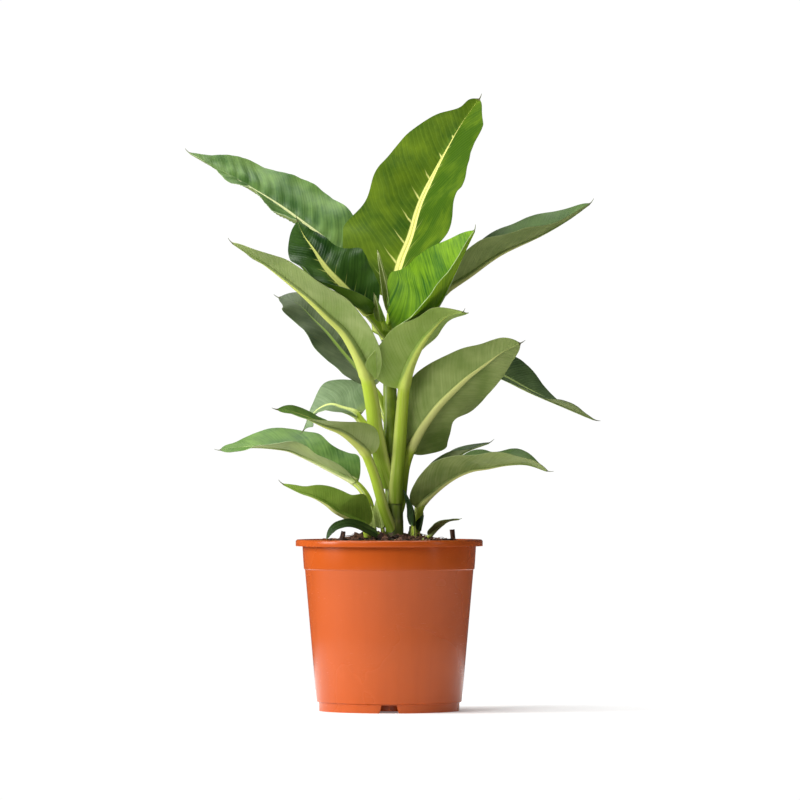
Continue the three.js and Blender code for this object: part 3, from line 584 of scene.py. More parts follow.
def scatter(draw, kind, seeds, count, sizes, sink, reach):
    lumps = [roughLump(kind, seed) for seed in seeds]
    placed = []
    for i in range(count):
        x, y, z = drawPlace(draw, reach, 0.0)
        length = draw.uniform(*sizes)
        size = (length, length * draw.uniform(0.35, 0.7), length * draw.uniform(0.25, 0.5))
        turn = Matrix.Rotation(draw.uniform(0, tau), 4, "Z") @ Matrix.Rotation(draw.gauss(0, 0.45), 4, "X")
        turn = turn @ Matrix.Rotation(draw.gauss(0, 0.35), 4, "Y")
        mesh = lumps[i % len(lumps)].data.copy()
        mesh.transform(Matrix.Translation(Vector((x, y, z + size[2] * sink)) * mm)
                       @ turn @ Matrix.Diagonal((*(value * mm for value in size), 1)))
        item = bpy.data.objects.new("bit", mesh)
        bpy.context.collection.objects.link(item)
        placed.append(item)
    for lump in lumps:
        bpy.data.objects.remove(lump)
    return joinPieces(placed)


def makeFibres(draw):
    # coir fibres: thin bent hairs with three sides, closed at both ends
    fibre = litter["fibres"]
    steps = fibre["steps"]
    verts, faces = [], []
    for _ in range(fibre["count"]):
        foot = Vector(drawPlace(draw, fibre["reach"], 0.05)) - Vector((0, 0, fibre["sink"]))
        heading = draw.uniform(0, tau)
        length = draw.uniform(*fibre["length"])
        rise = draw.uniform(*fibre["rise"])
        first = len(verts)
        for step in range(steps + 1):
            share = step / steps
            bend = heading + draw.uniform(-fibre["waver"], fibre["waver"]) + share * fibre["bend"]
            run = length * share
            climb = rise * run * (1 - fibre["sag"] * share) + fibre["lift"]
            centre = foot + Vector((cos(bend) * run, sin(bend) * run, climb))
            away = hypot(centre.x, centre.y)
            if away > litter["reach"]:
                centre.x *= litter["reach"] / away
                centre.y *= litter["reach"] / away
            for side in range(3):
                around = side / 3 * tau
                verts.append((centre + Vector((0, cos(around), sin(around))) * fibre["radius"]) * mm)
        for ring in range(first, first + steps * 3, 3):
            for side in range(3):
                a, b = ring + side, ring + (side + 1) % 3
                faces.append((a, b, b + 3, a + 3))
        last = first + steps * 3
        faces += [(first + 2, first + 1, first), (last, last + 1, last + 2)]
    mesh = bpy.data.meshes.new("coir")
    mesh.from_pydata(verts, [], faces)
    coir = bpy.data.objects.new("coir", mesh)
    bpy.context.collection.objects.link(coir)
    fixNormals(coir)
    return coir


def makeSoil():
    draw = random.Random(litter["seed"])
    skins = {name: soilMaterial(name) for name in soilSkins}
    finishPiece(makeSoilBody(), "soilBody", "soil", [skins["darkPeat"]], soilSize["smooth"])
    for name, *spec, skin in litter["kinds"]:
        finishPiece(scatter(draw, *spec), name, None, [skins[skin]])
    finishPiece(makeFibres(draw), "soilFibres", None, [skins["coirFibre"]])
    for name, stub in stubs.items():
        finishPiece(makeStub(stub), name + "_grown", name, [skins["barkChips"]])
    print("soil done")


def makeStub(stub):
    bpy.ops.mesh.primitive_cylinder_add(vertices=14, radius=stub["radius"] * mm, depth=stub["height"] * mm)
    piece = bpy.context.object
    applyModifier(piece, "SUBSURF", subdivision_type="SIMPLE", levels=2, render_levels=2)
    foot = Vector(stub["foot"]) * mm
    piece.data.transform(Matrix.Translation(foot) @ Matrix.Rotation(stub["lean"], 4, "Y"))
    for vertex in piece.data.vertices:
        # furrows run up the bark, and the broken end is ragged
        out = vertex.co - foot
        climb = out.z / (stub["height"] * mm)
        furrow = noise.noise(Vector((out.x * 700, out.y * 700, out.z * 90)))
        vertex.co.x += out.x * (0.28 * furrow - 0.15 * climb)
        vertex.co.y += out.y * (0.28 * furrow - 0.15 * climb)
        vertex.co.z += (1.6 * mm) * max(0, climb) * noise.noise(out * 900)
    return piece


# stems
stems = {
    "main_stem": {"path": [(5, 0, 132), (4.5, 0, 192), (2, 0, 246), (0.5, 0, 300), (0, 0, 340)],
                  "radii": [8.5, 8, 7, 6, 5], "rings": 84,
                  "scars": [158, 172, 188.5, 205, 232, 262, 292, 318]},
    "left_shoot_stem": {"path": [(-20, 2, 132), (-19.5, 2, 155), (-17.5, 2, 167.5)],
                        "radii": [6, 5, 4], "rings": 26, "scars": [154, 162]},
    "right_shoot_stem": {"path": [(20.5, 12, 132), (21.5, 12, 155), (22.5, 13, 167.5)],
                         "radii": [6, 5, 4], "rings": 26, "scars": [153, 161]},
}
stemShape = {"sides": 30, "smooth": 40, "scarTilt": 0.9, "scarTurn": 2.4, "ridgeWidth": 0.7, "hollow": 0.6,
             "hollowAbove": 1.8, "hollowWidth": 1.1, "relief": 0.35, "wobble": 0.35}


def curvePoint(points, share):
    # the smooth curve that the part's source uses
    last = len(points) - 1
    i = min(int(share * last), last - 1)
    w = share * last - i
    p1, p2 = points[i], points[i + 1]
    p0 = points[i - 1] if i > 0 else 2 * p1 - p2
    p3 = points[i + 2] if i + 2 <= last else 2 * p2 - p1
    m1, m2 = (p2 - p0) / 2, (p3 - p1) / 2
    return p1 + m1 * w + (3 * (p2 - p1) - 2 * m1 - m2) * w ** 2 + (2 * (p1 - p2) + m1 + m2) * w ** 3


def upright(edge, mesh):
    ends = [mesh.vertices[i].co for i in edge.vertices]
    return abs(ends[0].z - ends[1].z) > 0.5


def makeStem(stem):
    # a cylinder cut into rings, each ring then moved to its place on the stem's curve
    shape = stemShape
    bpy.ops.mesh.primitive_cylinder_add(vertices=shape["sides"], radius=1, depth=1)
    piece = bpy.context.object
    setMode("EDIT")
    bpy.ops.mesh.select_all(action="DESELECT")
    bpy.ops.mesh.select_mode(type="EDGE")
    setMode("OBJECT")
    for edge in piece.data.edges:
        edge.select = upright(edge, piece.data)
    setMode("EDIT")
    bpy.ops.mesh.subdivide(number_cuts=stem["rings"])
    setMode("OBJECT")
    path = [Vector(point) for point in stem["path"]]
    scar = piece.data.attributes.new("leafScar", "FLOAT", "POINT")
    for vertex in piece.data.vertices:
        share = vertex.co.z + 0.5
        around = atan2(vertex.co.y, vertex.co.x)
        centre = curvePoint(path, share)
        at = share * (len(stem["radii"]) - 1)
        below = min(int(at), len(stem["radii"]) - 2)
        lower, upper = stem["radii"][below:below + 2]
        radius = lower + (upper - lower) * (at - below)
        # leaf scars tilt a little and stand out as a thin ridge with a hollow above it
        ridge = 0
        for number, level in enumerate(stem["scars"]):
            gap = centre.z - level - shape["scarTilt"] * cos(around + number * shape["scarTurn"])
            ridge += exp(-(gap / shape["ridgeWidth"]) ** 2)
            ridge -= shape["hollow"] * exp(-((gap - shape["hollowAbove"]) / shape["hollowWidth"]) ** 2)
        scar.data[vertex.index].value = max(0, min(1, ridge))
        wobble = noise.noise(Vector((cos(around) * 0.7, sin(around) * 0.7, centre.z * 0.05)))
        radius += shape["relief"] * ridge + shape["wobble"] * wobble
        vertex.co = Vector((centre.x + radius * vertex.co.x, centre.y + radius * vertex.co.y, centre.z)) * mm
    return piece


def makeStems():
    skin = stemMaterial()
    for name, stem in stems.items():
        finishPiece(makeStem(stem), name + "_grown", name, [skin], stemShape["smooth"])
    print("stems done")


# leaves
leafMesh = {"stalkRows": 22, "bladeRows": 110, "tipRows": 6, "halfColumns": 17, "ribColumns": 6, "smooth": 55}
routeSteps = 240
seedStep = 7.3
straight = (0, 0, 0)
# what all leaves have in common: millimetres, degrees and shares
leafForm = {
    "ribRise": 0.20, "stalkRise": 0.5, "bladeRib": (1.15, 1.3, 0.35), "stalkRib": 1.1, "threadRib": 0.2,
    "stalkFold": 9, "stalkCurl": 12, "thread": (0.5, 0.12),
    "ribShare": 0.72, "rootFrom": -0.7, "rootReach": 16, "rootSink": 0.75,
    "slant": (0.7, 0.006), "bladeThick": (0.85, 0.4), "stalkThick": 0.7, "threadThick": (0.4, 0.12),
}


def half(width, outline, fold, swells=(), curl=straight):
    # one side of a blade: fold and curl are degrees at its base, middle and tip
    widest, rounding, bulge, taper = outline
    return {"width": width, "widest": widest, "round": rounding, "bulge": bulge, "taper": taper,
            "fold": fold, "curl": curl, "swells": swells}


leafDefaults = {"turn": straight, "wave": (1.5, 2.5, 0), "lobe": 4, "veinGap": 13, "quilt": 0.35,
                "crinkle": 0.9, "rib": (0.8, 0.9), "tip": (6, 0.3), "slot": "leaf"}
bladeDefaults = {"wave": (0, 1, 0), "lobe": 0, "veinGap": 5, "quilt": 0.1, "crinkle": 0.3, "rib": (0.3, 0.6),
                 "tip": (3, 0.2)}


def leaf(path, bladeFrom, petiole, face, left, right, look, **more):
    return dict(path=path, bladeFrom=bladeFrom, petiole=petiole, face=face, left=left, right=right or left,
                look=look, **leafDefaults | more)


def blade(path, petiole, width, face, fold, curl=0, **more):
    # a bract, a sheath or a spear, with both halves the same
    side = half(width, (0.35, 0.5, 1.2, 0.9), (fold,) * 3, curl=(curl,) * 3)
    return leaf(path, 1, petiole, face, side, None, **bladeDefaults | more)


def mix3(values, t):
    # a smooth value through the ones at a blade's base, middle and tip
    base, middle, tip = values
    return base * (1 - t) * (1 - 2 * t) + middle * 4 * t * (1 - t) + tip * t * (2 * t - 1)


def halfWidth(side, t):
    rising = sin(pi / 2 * min(t / side["widest"], 1)) ** side["round"]
    past = max(0, (t - side["widest"]) / (1 - side["widest"]))
    width = side["width"] * rising * max(0, 1 - past ** side["bulge"]) ** side["taper"]
    nearEnd = min(1, 8 * t, 8 * (1 - t))
    for place, rise, reach in side["swells"]:
        width += rise * nearEnd * exp(-((t - place) / reach) ** 2)
    return max(0, width)


class Route:
    # a path sampled finely, so that a place can be found by its length along it
    def __init__(self, path):
        points = [Vector(point) for point in path]
        self.points = [curvePoint(points, i / routeSteps) for i in range(routeSteps + 1)]
        self.lengths = [0]
        for a, b in zip(self.points, self.points[1:]):
            self.lengths.append(self.lengths[-1] + (b - a).length)
        self.total = self.lengths[-1]

    def at(self, length):
        length = min(max(length, 0), self.total)
        high = bisect_left(self.lengths, length, 1, routeSteps)
        low = high - 1
        share = (length - self.lengths[low]) / (self.lengths[high] - self.lengths[low])
        return self.points[low].lerp(self.points[high], share)

    def direction(self, length):
        reach = self.total * 0.012
        return (self.at(length + reach) - self.at(length - reach)).normalized()


def leafRows(spec, route):
    # each row's length on the route, and t: below 0 on the stalk, 0 to 1 on the blade, above 1 on the thread
    baseLength = route.lengths[round(spec["bladeFrom"] * routeSteps / (len(spec["path"]) - 1))]
    m = leafMesh
    rows = [(baseLength * i / m["stalkRows"], i / m["stalkRows"] - 1) for i in range(m["stalkRows"])]
    for i in range(m["bladeRows"] + 1):
        t = min(0.995, (1 - cos(pi * i / m["bladeRows"])) / 2)
        rows.append((baseLength + (route.total - baseLength) * t, t))
    rows += [(route.total, 1 + (i + 1) / m["tipRows"]) for i in range(m["tipRows"])]
    return rows, baseLength


def stemCentre(place):
    # the nearest stem's axis at this height
    centres = []
    for stem in stems.values():
        path = [Vector(point) for point in stem["path"]]
        share = (place.z - path[0].z) / (path[-1].z - path[0].z)
        centres.append(curvePoint(path, min(max(share, 0), 1)))
    nearest = min(centres, key=lambda centre: (centre - place).xy.length)
    return Vector((nearest.x, nearest.y, place.z))


def rowFrame(spec, route, length, t):
    direction = route.direction(length)
    upper = Vector(spec["face"])
    upper = (upper - upper.dot(direction) * direction).normalized()
    turn = radians(mix3(spec["turn"], min(max(t, 0), 1)))
    upper = Matrix.Rotation(turn, 3, direction) @ upper
    right = direction.cross(upper)
    centre = route.at(length)
    rootFrom = leafForm["rootFrom"]
    if t < rootFrom:
        # the root of the stalk sinks into its stem
        sink = ((rootFrom - t) / 0.3) ** 2
        axis = stemCentre(centre)
        if (axis - centre).length < leafForm["rootReach"]:
            centre = centre.lerp(axis, leafForm["rootSink"] * sink)
    if t > 1:
        threadLength, threadCurl = spec["tip"]
        run = (t - 1) * threadLength
        centre = centre + direction * run + upper * (threadCurl * run * (t - 1))
    return centre, direction, upper, right


def rowPoints(spec, length, t, frame, side, sign, seed):
    # half a row, midrib to margin: (upper point, lower point, vein number, rib widths, signed share)
    centre, direction, upper, right = frame
    f = leafForm
    rootRadius, neckRadius = spec["petiole"]
    onBlade, onThread = t >= 0, t > 1
    bladeT = min(max(t, 0), 1)
    petioleRadius = rootRadius + (neckRadius - rootRadius) * (1 + min(t, 0))
    if onThread:
        width = f["thread"][0] * (2 - t) + f["thread"][1]
        ribHalf = width
        ribDepth = f["threadRib"]
    elif onBlade:
        width = halfWidth(side, t) + neckRadius * (1 - t) ** 3 + 0.5
        nearEnd = min(1, 8 * t, 8 * (1 - t))
        width += spec["crinkle"] * nearEnd * noise.noise(Vector((t * 8, seed * 5.3, 3 * sign)))
        ribHalf = neckRadius * (1 - t) * 0.95 + 0.8
        depth, power, least = f["bladeRib"]
        ribDepth = depth * neckRadius * (1 - bladeT) ** power + least
    else:
        width = ribHalf = petioleRadius
        ribDepth = f["stalkRib"] * petioleRadius
    fold = radians(mix3(side["fold"], bladeT) if onBlade else f["stalkFold"])
    curl = radians(mix3(side["curl"], bladeT) if onBlade else f["stalkCurl"])
    ribShare = min(ribHalf / width, f["ribShare"])
    # the pale band on the midrib narrows to nothing before the tip
    bandWidth, bandEnd = spec["rib"]
    band = ribHalf * bandWidth * min(1, max(0.05, (bandEnd - t) / 0.4)) if onBlade else ribHalf
    band += (ribHalf - band) * max(0, 1 - bladeT / 0.12)
    bulge = f["stalkRise"] * petioleRadius
    if onBlade:
        flat = f["ribRise"] * ribHalf
        bulge = flat + (bulge - flat) * (1 - min(1, max(0, t) / 0.14)) ** 2
    points = []
    ribColumns, columns = leafMesh["ribColumns"], leafMesh["halfColumns"]
    for column in range(columns + 1):
        if column <= ribColumns:
            share = ribShare * sin(pi / 2 * column / ribColumns)
        else:
            share = ribShare + (1 - ribShare) * (column - ribColumns) / (columns - ribColumns)
        lean = fold + curl * share
        if abs(curl) < 1e-4:
            out, rise = share * cos(fold), share * sin(fold)
        else:
            out = (sin(lean) - sin(fold)) / curl
            rise = (cos(fold) - cos(lean)) / curl
        point = centre + right * (sign * width * out) + upper * (width * rise)
        outward = upper * cos(lean) - right * (sign * sin(lean))
        across = share * width
        # side veins leave the midrib at a slant, and those of one half stand between those of the other
        slant, bend = f["slant"]
        number = (length - slant * across - bend * across ** 2) / spec["veinGap"] + (0.5 if sign > 0 else 0)
        relief = 0
        if onBlade and not onThread:
            height, waves, start = spec["wave"]
            ripple = sin(tau * (waves * t + start + (0.25 if sign > 0 else 0)))
            swell = sqrt(max(0, sin(pi * t)))
            point -= direction * (spec["lobe"] * share ** 1.5 * (1 - t) ** 4)
            point += upper * (height * share ** 2 * ripple * swell)
            # the blade is quilted between the veins, buckled, and frilled at the margin
            spread = max(0, min(1, (across - ribHalf) / 6)) * swell
            groove = (0.5 + 0.5 * cos(tau * number)) ** 3
            buckle = noise.noise(Vector((sign * across * 0.045 + seed, length * 0.03, seed * 1.7)))
            frill = noise.noise(Vector((seed * 3.1 + sign, length * 0.07, 5)))
            quilting = spec["quilt"] * (groove - 0.3) * (1.3 - 1.1 * share)
            relief = spread * (spec["crinkle"] * 1.6 * buckle - quilting)
            relief += spec["crinkle"] * 1.2 * frill * share ** 3 * swell
        nearRib = sqrt(max(0, 1 - (across / ribHalf) ** 2))
        if onThread:
            thickness = f["threadThick"][0] * (2 - t) + f["threadThick"][1]
        else:
            thickness = f["bladeThick"][0] - f["bladeThick"][1] * share if onBlade else f["stalkThick"]
        top = point + outward * (relief + bulge * nearRib * (0 if onThread else 1))
        under = point + outward * (relief - thickness - ribDepth * nearRib)
        points.append((top, under, number, across / band, sign * share))
    return points


def leafTable(spec, seed):
    route = Route(spec["path"])
    rows, baseLength = leafRows(spec, route)
    table = []
    for length, t in rows:
        frame = rowFrame(spec, route, length, t)
        leftHalf, rightHalf = (rowPoints(spec, length - baseLength, t, frame, spec[side], sign, seed)
                               for side, sign in (("left", -1), ("right", 1)))
        table.append([(*point, t) for point in leftHalf[:0:-1] + rightHalf])
    return table


def makeLeaf(name, spec, finishes, seed):
    # a flat grid takes the leaf's form row by row, and Solidify gives it an underside and an edge
    table = leafTable(spec, seed)
    rows, columns = len(table) - 1, len(table[0]) - 1
    bpy.ops.mesh.primitive_grid_add(x_subdivisions=columns, y_subdivisions=rows, size=2, calc_uvs=True)
    piece = bpy.context.object
    cells = [(round((v.co.y + 1) / 2 * rows), round((v.co.x + 1) / 2 * columns))
             for v in piece.data.vertices]
    applyModifier(piece, "SOLIDIFY", thickness=0.001, offset=-1, material_offset=1, material_offset_rim=2)
    for label, kind in (("veinLines", "FLOAT_VECTOR"), ("bladeShare", "FLOAT")):
        piece.data.attributes.new(label, kind, "POINT")
    lines = piece.data.attributes["veinLines"].data
    share = piece.data.attributes["bladeShare"].data
    for i, vertex in enumerate(piece.data.vertices):
        # the first copy of the grid is the upper side, the second the underside
        layer, cell = divmod(i, len(cells))
        row, column = cells[cell]
        top, under, number, ratio, across, t = table[row][column]
        vertex.co = (under if layer else top) * mm
        lines[i].vector = (number, ratio, across)
        share[i].value = t
    finishPiece(piece, name + "_grown", name, finishes[spec["look"]], leafMesh["smooth"])
    for polygon in piece.data.polygons:
        layers = {i >= len(cells) for i in polygon.vertices}
        polygon.material_index = 2 if len(layers) == 2 else int(True in layers)


leaves = {
    "leaf_top": leaf(
        [(0.5, 0, 343), (2.5, 5, 362), (6, 14, 387), (12, 27, 410), (20, 38, 431), (28.5, 50, 461),
         (40, 58, 487), (53, 66, 513), (67, 71, 538), (82.5, 75, 560)], 2, (5, 4.2), (-0.6, -0.8, 0.15),
        half(61, (0.28, 0.5, 1.15, 0.6), (30, 26, 22),
             ((0.3, 4, 0.07), (0.41, -6, 0.07), (0.72, 6, 0.1), (0.94, -14, 0.06)), (-6, -6, 0)),
        half(72, (0.28, 0.5, 1.15, 0.6), (30, 30, 20), ((0.48, 11, 0.13), (0.86, 14, 0.1)), (-6, -6, 0)),
        "crown", rib=(1.2, 0.93), turn=(4, 0, -4), lobe=12, wave=(3, 2.2, 0.1), veinGap=23,
        slot="young_leaf"),
    "leaf_upper_left_back": leaf(
        [(-4, 7, 338), (-19, 22, 374), (-36, 35, 403), (-56, 45, 426), (-82, 54, 447), (-108, 63, 466),
         (-142, 72, 487), (-184, 78, 511)], 2, (5.5, 3.5), (0.4, -0.5, 0.76),
        half(40, (0.3, 0.5, 1.2, 0.75), (24, 21, 24), ((0.85, -5, 0.08),), (10, 0, 0)),
        half(45, (0.36, 0.7, 1.2, 0.75), (25, 20, 14), ((0.5, 3, 0.1), (0.73, 8, 0.1)), (0, 0, -10)),
        "sage", rib=(0.9, 0.85), lobe=6, wave=(2.5, 3.2, 0.3), quilt=2.4, crinkle=2.2),
    "leaf_curled_dark": leaf(
        [(-3, -4, 340), (-11, -8, 352), (-20, -12, 362), (-32, -17, 374), (-44, -20, 387), (-57, -20, 401),
         (-69, -18, 419), (-78, -15, 432), (-83, -11, 444)], 2, (4.6, 3.4), (0.25, -0.85, 0.35),
        half(36, (0.5, 0.5, 1.4, 0.8), (30, 5, 0), curl=(150, 70, -20)),
        half(29, (0.35, 0.5, 1.3, 0.85), (30, 20, 10), ((0.45, 4, 0.13),), (10, 0, 0)),
        "dark", rib=(1.1, 0.95), wave=(2, 2, 0), quilt=0.5, crinkle=3.4),
    "leaf_new": leaf(
        [(1.5, -7, 325), (10, -13, 336), (20, -20, 347), (38, -29, 362), (48, -35, 376), (56, -40, 392),
         (65, -45, 411), (71, -48, 423), (76.5, -50, 434)], 2, (4, 3), (-0.6, -0.5, 0.6),
        half(52, (0.32, 0.45, 1.2, 0.75), (40, 34, 30), ((0.13, 7, 0.12),)),
        half(41, (0.32, 0.45, 1.2, 0.75), (40, 36, 30), curl=(10, 10, 10)),
        "fresh", lobe=16, wave=(1.5, 2, 0), slot="young_leaf"),
    "leaf_upper_right": leaf(
        [(2.5, 6, 332), (19, 12, 350), (37, 18, 370), (53, 22, 384), (72, 26, 397), (101, 30, 417),
         (138, 32, 434), (163, 32, 448), (183, 30, 462)], 3, (5, 3.4), (-0.48, -0.28, 0.84),
        half(30, (0.5, 0.6, 1.7, 0.8), (30, 30, 20), ((0.3, -6, 0.15),)),
        half(38, (0.4, 0.6, 1.5, 0.8), (55, 32, 16), curl=(6, 6, 0)),
        "olive", lobe=5, wave=(1.5, 3, 0.2)),
    "leaf_long_left": leaf(
        [(-2.5, -3, 203), (-5, -6, 223), (-8.5, -9, 241), (-12, -13, 260), (-14.5, -18, 280), (-20, -25, 306),
         (-28, -33, 325), (-40, -42, 344), (-55, -51, 358), (-68, -58, 370), (-82, -64, 382),
         (-107, -73, 401), (-123, -78, 411), (-140, -82, 422)], 5, (7.5, 6), (0.45, 0.36, 0.82),
        half(35, (0.4, 0.6, 1.4, 0.7), (4, 10, 8)),
        half(31, (0.6, 0.9, 1.5, 0.7), (30, 24, 16)),
        "pale", lobe=6, wave=(1.5, 3, 0), quilt=0.2),
    "leaf_dark_left_back": leaf(
        [(-1, 4, 262), (-8.5, 12, 284), (-19, 20, 298), (-36, 32, 318), (-46, 38, 330), (-58, 46, 345),
         (-70, 52, 357), (-85, 58, 372), (-101, 62, 377)], 2, (4.5, 3.2), (0.3, -0.55, 0.78),
        half(30, (0.4, 0.5, 1.5, 0.55), (16, 12, 10), ((0.05, 10, 0.1), (0.45, 3, 0.15), (0.86, 15, 0.12))),
        half(30, (0.4, 0.5, 1.5, 0.55), (16, 12, 10)),
        "slate", lobe=5),
    "leaf_drooping_left": leaf(
        [(-2, 5, 222), (-8.5, 8, 238), (-16, 11, 252), (-25, 14, 263), (-32, 17, 271), (-43, 22, 275),
         (-53, 27, 278), (-63, 32, 275), (-71, 36, 268), (-78, 39, 256)], 4, (4.5, 3.2), (-0.05, -0.75, 0.65),
        half(17, (0.3, 0.5, 1.2, 0.9), (35, 35, 30), ((0.86, 8, 0.1),)),
        half(40, (0.2, 0.35, 1.2, 1.9), (5, 5, 5), ((0.5, 5, 0.08),)),
        "misty", lobe=6, wave=(1.5, 2, 0)),
    "leaf_narrow_left": leaf(
        [(1.5, -6, 162), (-1, -8, 173), (-4, -10, 184), (-8.5, -13, 200), (-14, -18, 218), (-22, -26, 236),
         (-33, -34, 247), (-44, -41, 254.5), (-57, -49, 259), (-76, -59, 267), (-89, -65, 271.5),
         (-100, -68, 273)],
        5, (5, 4), (0.35, 0.3, 0.88),
        half(24, (0.25, 0.5, 1.2, 0.8), (25, 10, 5), ((0.85, -5, 0.1),)),
        half(24, (0.25, 0.5, 1.2, 0.8), (25, 25, 10)),
        "pale", turn=(0, -5, -75), lobe=5, wave=(1, 2, 0), veinGap=10),
    "leaf_low_left_rolled": leaf(
        [(-17.5, 6, 152), (-15.5, 8, 173), (-18.5, 10, 191), (-25, 12, 202), (-33, 15, 209), (-42, 18, 214),
         (-54, 22, 220), (-66, 26, 226), (-79, 29, 232), (-91, 31, 237), (-103, 32, 239), (-116, 33, 240),
         (-127, 33, 240), (-141, 32, 239), (-154, 30, 237)], 4, (4, 3), (0.05, -0.3, 0.95),
        half(30, (0.45, 0.7, 1.6, 0.7), (40, 28, -12), ((0.3, -4, 0.15), (0.9, -5, 0.07)), (10, 10, 0)),
        half(34, (0.45, 0.7, 1.6, 0.7), (40, 20, 5), ((0.05, 13, 0.08), (0.3, -8, 0.1), (0.91, -6, 0.06))),
        "sage", wave=(1.5, 3, 0), quilt=0.5, crinkle=1.3),
    "leaf_low_left_bright": leaf(
        [(-19, -8, 150), (-19, -11, 160), (-23, -15, 169), (-38, -24, 177), (-48, -31, 182), (-57, -37, 189),
         (-68, -43, 195), (-80, -48, 199), (-95, -54, 206)], 2, (4, 3), (0.2, 0.2, 0.95),
        half(22, (0.3, 0.5, 1.3, 0.8), (45, 40, 30), ((0.25, 5, 0.12),)),
        half(20, (0.3, 0.5, 1.3, 0.8), (20, 20, 10)),
        "bright", rib=(0.4, 0.8), lobe=3, wave=(1, 2, 0), veinGap=10, quilt=0.2, slot="young_leaf"),
    "leaf_low_left_dark": leaf(
        [(-1, -16, 149), (-4, -19, 155), (-11, -25, 161), (-20, -33, 166), (-30, -42, 170), (-39, -50, 171),
         (-48, -58, 168), (-53, -63, 163), (-56, -66, 157)], 2, (3, 2.5), (-0.2, -0.7, 0.7),
        half(8, (0.35, 0.4, 1.3, 0.8), straight), None,
        "shadow", rib=(0.3, 0.6), lobe=2, wave=(0, 1, 0), veinGap=6, quilt=0.15, crinkle=0.5, tip=(1, 0)),
    "leaf_front_pale": leaf(
        [(5.5, -9, 188), (6, -9, 209), (8, -10, 236), (10, -12.5, 264), (11.5, -15, 282), (13.5, -20, 298),
         (18, -26, 313), (26, -34, 329), (35, -42, 342), (46, -50, 354), (55, -56, 359), (66, -64, 361)],
        5, (6.5, 5), (-0.5, 0.5, 0.7),
        half(34, (0.35, 0.45, 1.6, 0.6), (45, 22, 10), ((0.85, 12, 0.12),)),
        half(36, (0.3, 0.45, 1.4, 0.85), (20, 18, 10), ((0.13, 8, 0.11), (0.85, 6, 0.12))),
        "lime", lobe=6, wave=(1.5, 2, 0), quilt=0.2, tip=(3, 1), slot="young_leaf"),
    "leaf_large_right": leaf(
        [(10.5, 2, 176), (11, 1, 194), (12.5, 0, 209), (15, -1, 224), (20.5, -3, 239), (29, -6, 255),
         (38, -9, 268), (47, -12, 279), (59, -15, 291), (72, -18, 303), (88, -21, 315), (102, -23, 325),
         (118, -25, 333)], 4, (4.5, 3.8), (-0.1, 1, 0.25),
        half(31, (0.35, 0.45, 1.6, 0.6), (18, 18, 12), ((0.07, 10, 0.08), (0.32, -11, 0.1))),
        half(31, (0.35, 0.45, 1.6, 0.6), (18, 18, 12), ((0.42, 3, 0.12), (0.8, -3, 0.1))),
        "olive", lobe=5, wave=(2, 2.5, 0), quilt=0.25),
    "leaf_dark_right": leaf(
        [(4.5, 5, 241), (20, 13, 271), (42, 26, 295), (66, 39, 309), (88, 50, 311), (106, 58, 304),
         (129, 67, 292), (155, 73, 280), (189, 78, 265)], 3, (5, 3.4), (0.1, -0.45, 0.88),
        half(30, (0.5, 0.6, 1.3, 1.1), (15, 12, 10), ((0.35, 5, 0.12), (0.78, 6, 0.12))),
        half(24, (0.5, 0.6, 1.3, 1.1), (20, 20, 10)),
        "dusky", turn=(0, 0, -65)),
    "leaf_low_right_large": leaf(
        [(20.5, 10, 153), (22.5, 10, 168), (26, 8, 179), (31, 4, 190), (45, -1, 203), (60, -6, 213),
         (75, -11, 219), (89, -15, 221), (107, -19, 224), (125, -22, 224), (143, -24, 218)],
        3, (4, 3), (-0.1, 0.12, 0.98),
        half(35, (0.3, 0.5, 1.8, 0.55), (30, 35, 20), ((0.8, 4, 0.12),)),
        half(33, (0.3, 0.5, 1.8, 0.55), (20, 20, 10)),
        "olive", lobe=8, wave=(1.5, 3, 0), quilt=0.5),
    "leaf_low_right_twisted": leaf(
        [(20.5, 18, 151), (23.5, 20, 171), (25.5, 22, 186), (28, 24, 198), (34, 28, 206), (45, 33, 217),
         (58, 38, 227), (70, 42, 236), (91, 44, 243.5)], 3, (3.5, 2.6), (-0.5, 0.2, 0.84),
        half(23, (0.35, 0.45, 1.3, 0.8), (30, 30, 10), ((0.1, 8, 0.08),)),
        half(16, (0.35, 0.45, 1.3, 0.8), (20, 20, 10)),
        "dusky", turn=(-20, 0, 30), wave=(1.5, 2, 0), veinGap=10),
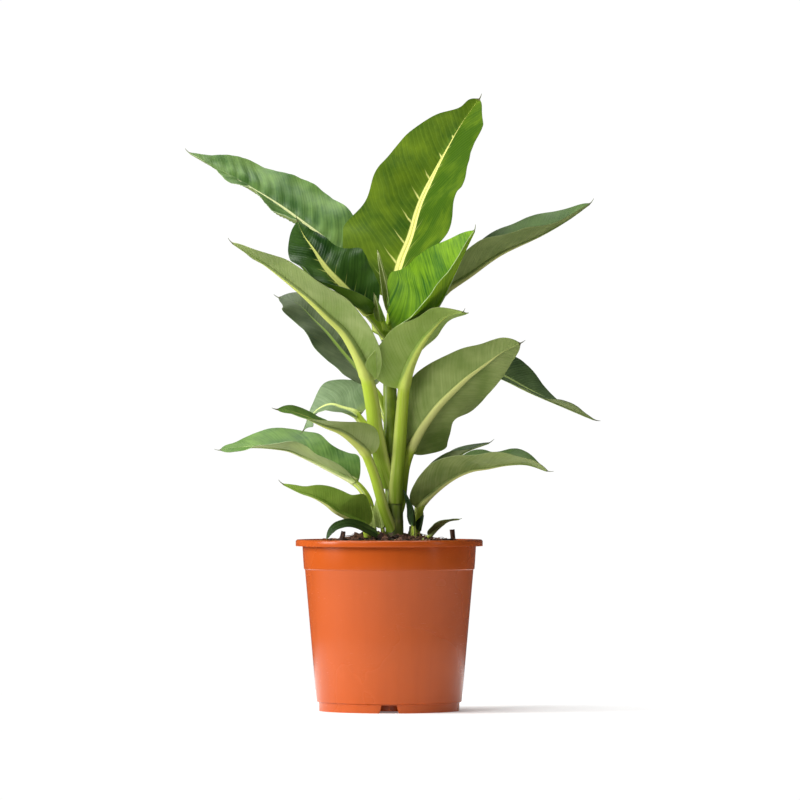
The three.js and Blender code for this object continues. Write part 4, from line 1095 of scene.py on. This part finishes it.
    "leaf_small_right": leaf(
        [(28, -20, 150), (31.5, -23, 156), (37, -26, 160.5), (44, -30, 167), (53, -34, 173),
         (63, -38, 174.5)], 2, (2, 1.6), (-0.1, 0.1, 0.99),
        half(9, (0.4, 0.6, 1.2, 0.9), (10, 10, 10)), None,
        "dusky", rib=(0.4, 0.7), lobe=1, wave=(0.5, 2, 0), veinGap=6, quilt=0.15, crinkle=0.5, tip=(3, 0.1)),
    "bract_right": blade([(22.5, -4, 153), (21.5, -6, 168.5), (20, -8, 184), (13.5, -9, 199)],
                         (2, 1.6), 4.5, (-0.7, -0.5, 0.2), 30, look="shadow"),
    "bract_small": blade([(24.5, 2, 155), (26.5, 0, 164), (29, -2, 171.5), (30.5, -3, 177.5)],
                         (1.8, 1.4), 5, (-0.5, -0.5, 0.5), 30, look="shadow"),
    "sheath_left_long": blade([(-5.5, 2, 153), (-6.5, 2, 166), (-9.5, 2, 179.5), (-11, 2, 193)],
                              (2, 1.6), 6, (-0.5, -0.7, 0.2), 30, look="sheath", slot="sheath"),
    "sheath_left_short": blade([(-12, -6, 152.5), (-14, -6, 164), (-15.5, -5, 175), (-16.5, -4, 186)],
                               (2, 1.6), 4, (-0.5, -0.7, 0.2), 30, look="sheath", slot="sheath"),
    "spear_tall": blade([(2, -3.5, 350.5), (1.5, -2.5, 362), (-1, 0, 380.5), (-5.5, 3, 398.5), (-10, 5, 416)],
                        (3, 2.5), 6, (-0.5, -0.8, 0.2), 50, 40, look="sheath", slot="young_leaf"),
    "spear_short": blade([(-2.5, -11, 343), (-6.5, -17, 354.5), (-9.5, -20, 365.5), (-13, -22, 376.5)],
                         (2.5, 2), 6, (-0.5, -0.8, 0.2), 50, 40, look="sheath", slot="young_leaf"),
}


def makeLeaves():
    finishes = makeLeafMaterials()
    for number, (name, spec) in enumerate(leaves.items()):
        makeLeaf(name, spec, finishes, number * seedStep)
    print("leaves done")


makeCamera()
makeFloor()
makeLight()
makePot()
makeSoil()
makeStems()
makeLeaves()
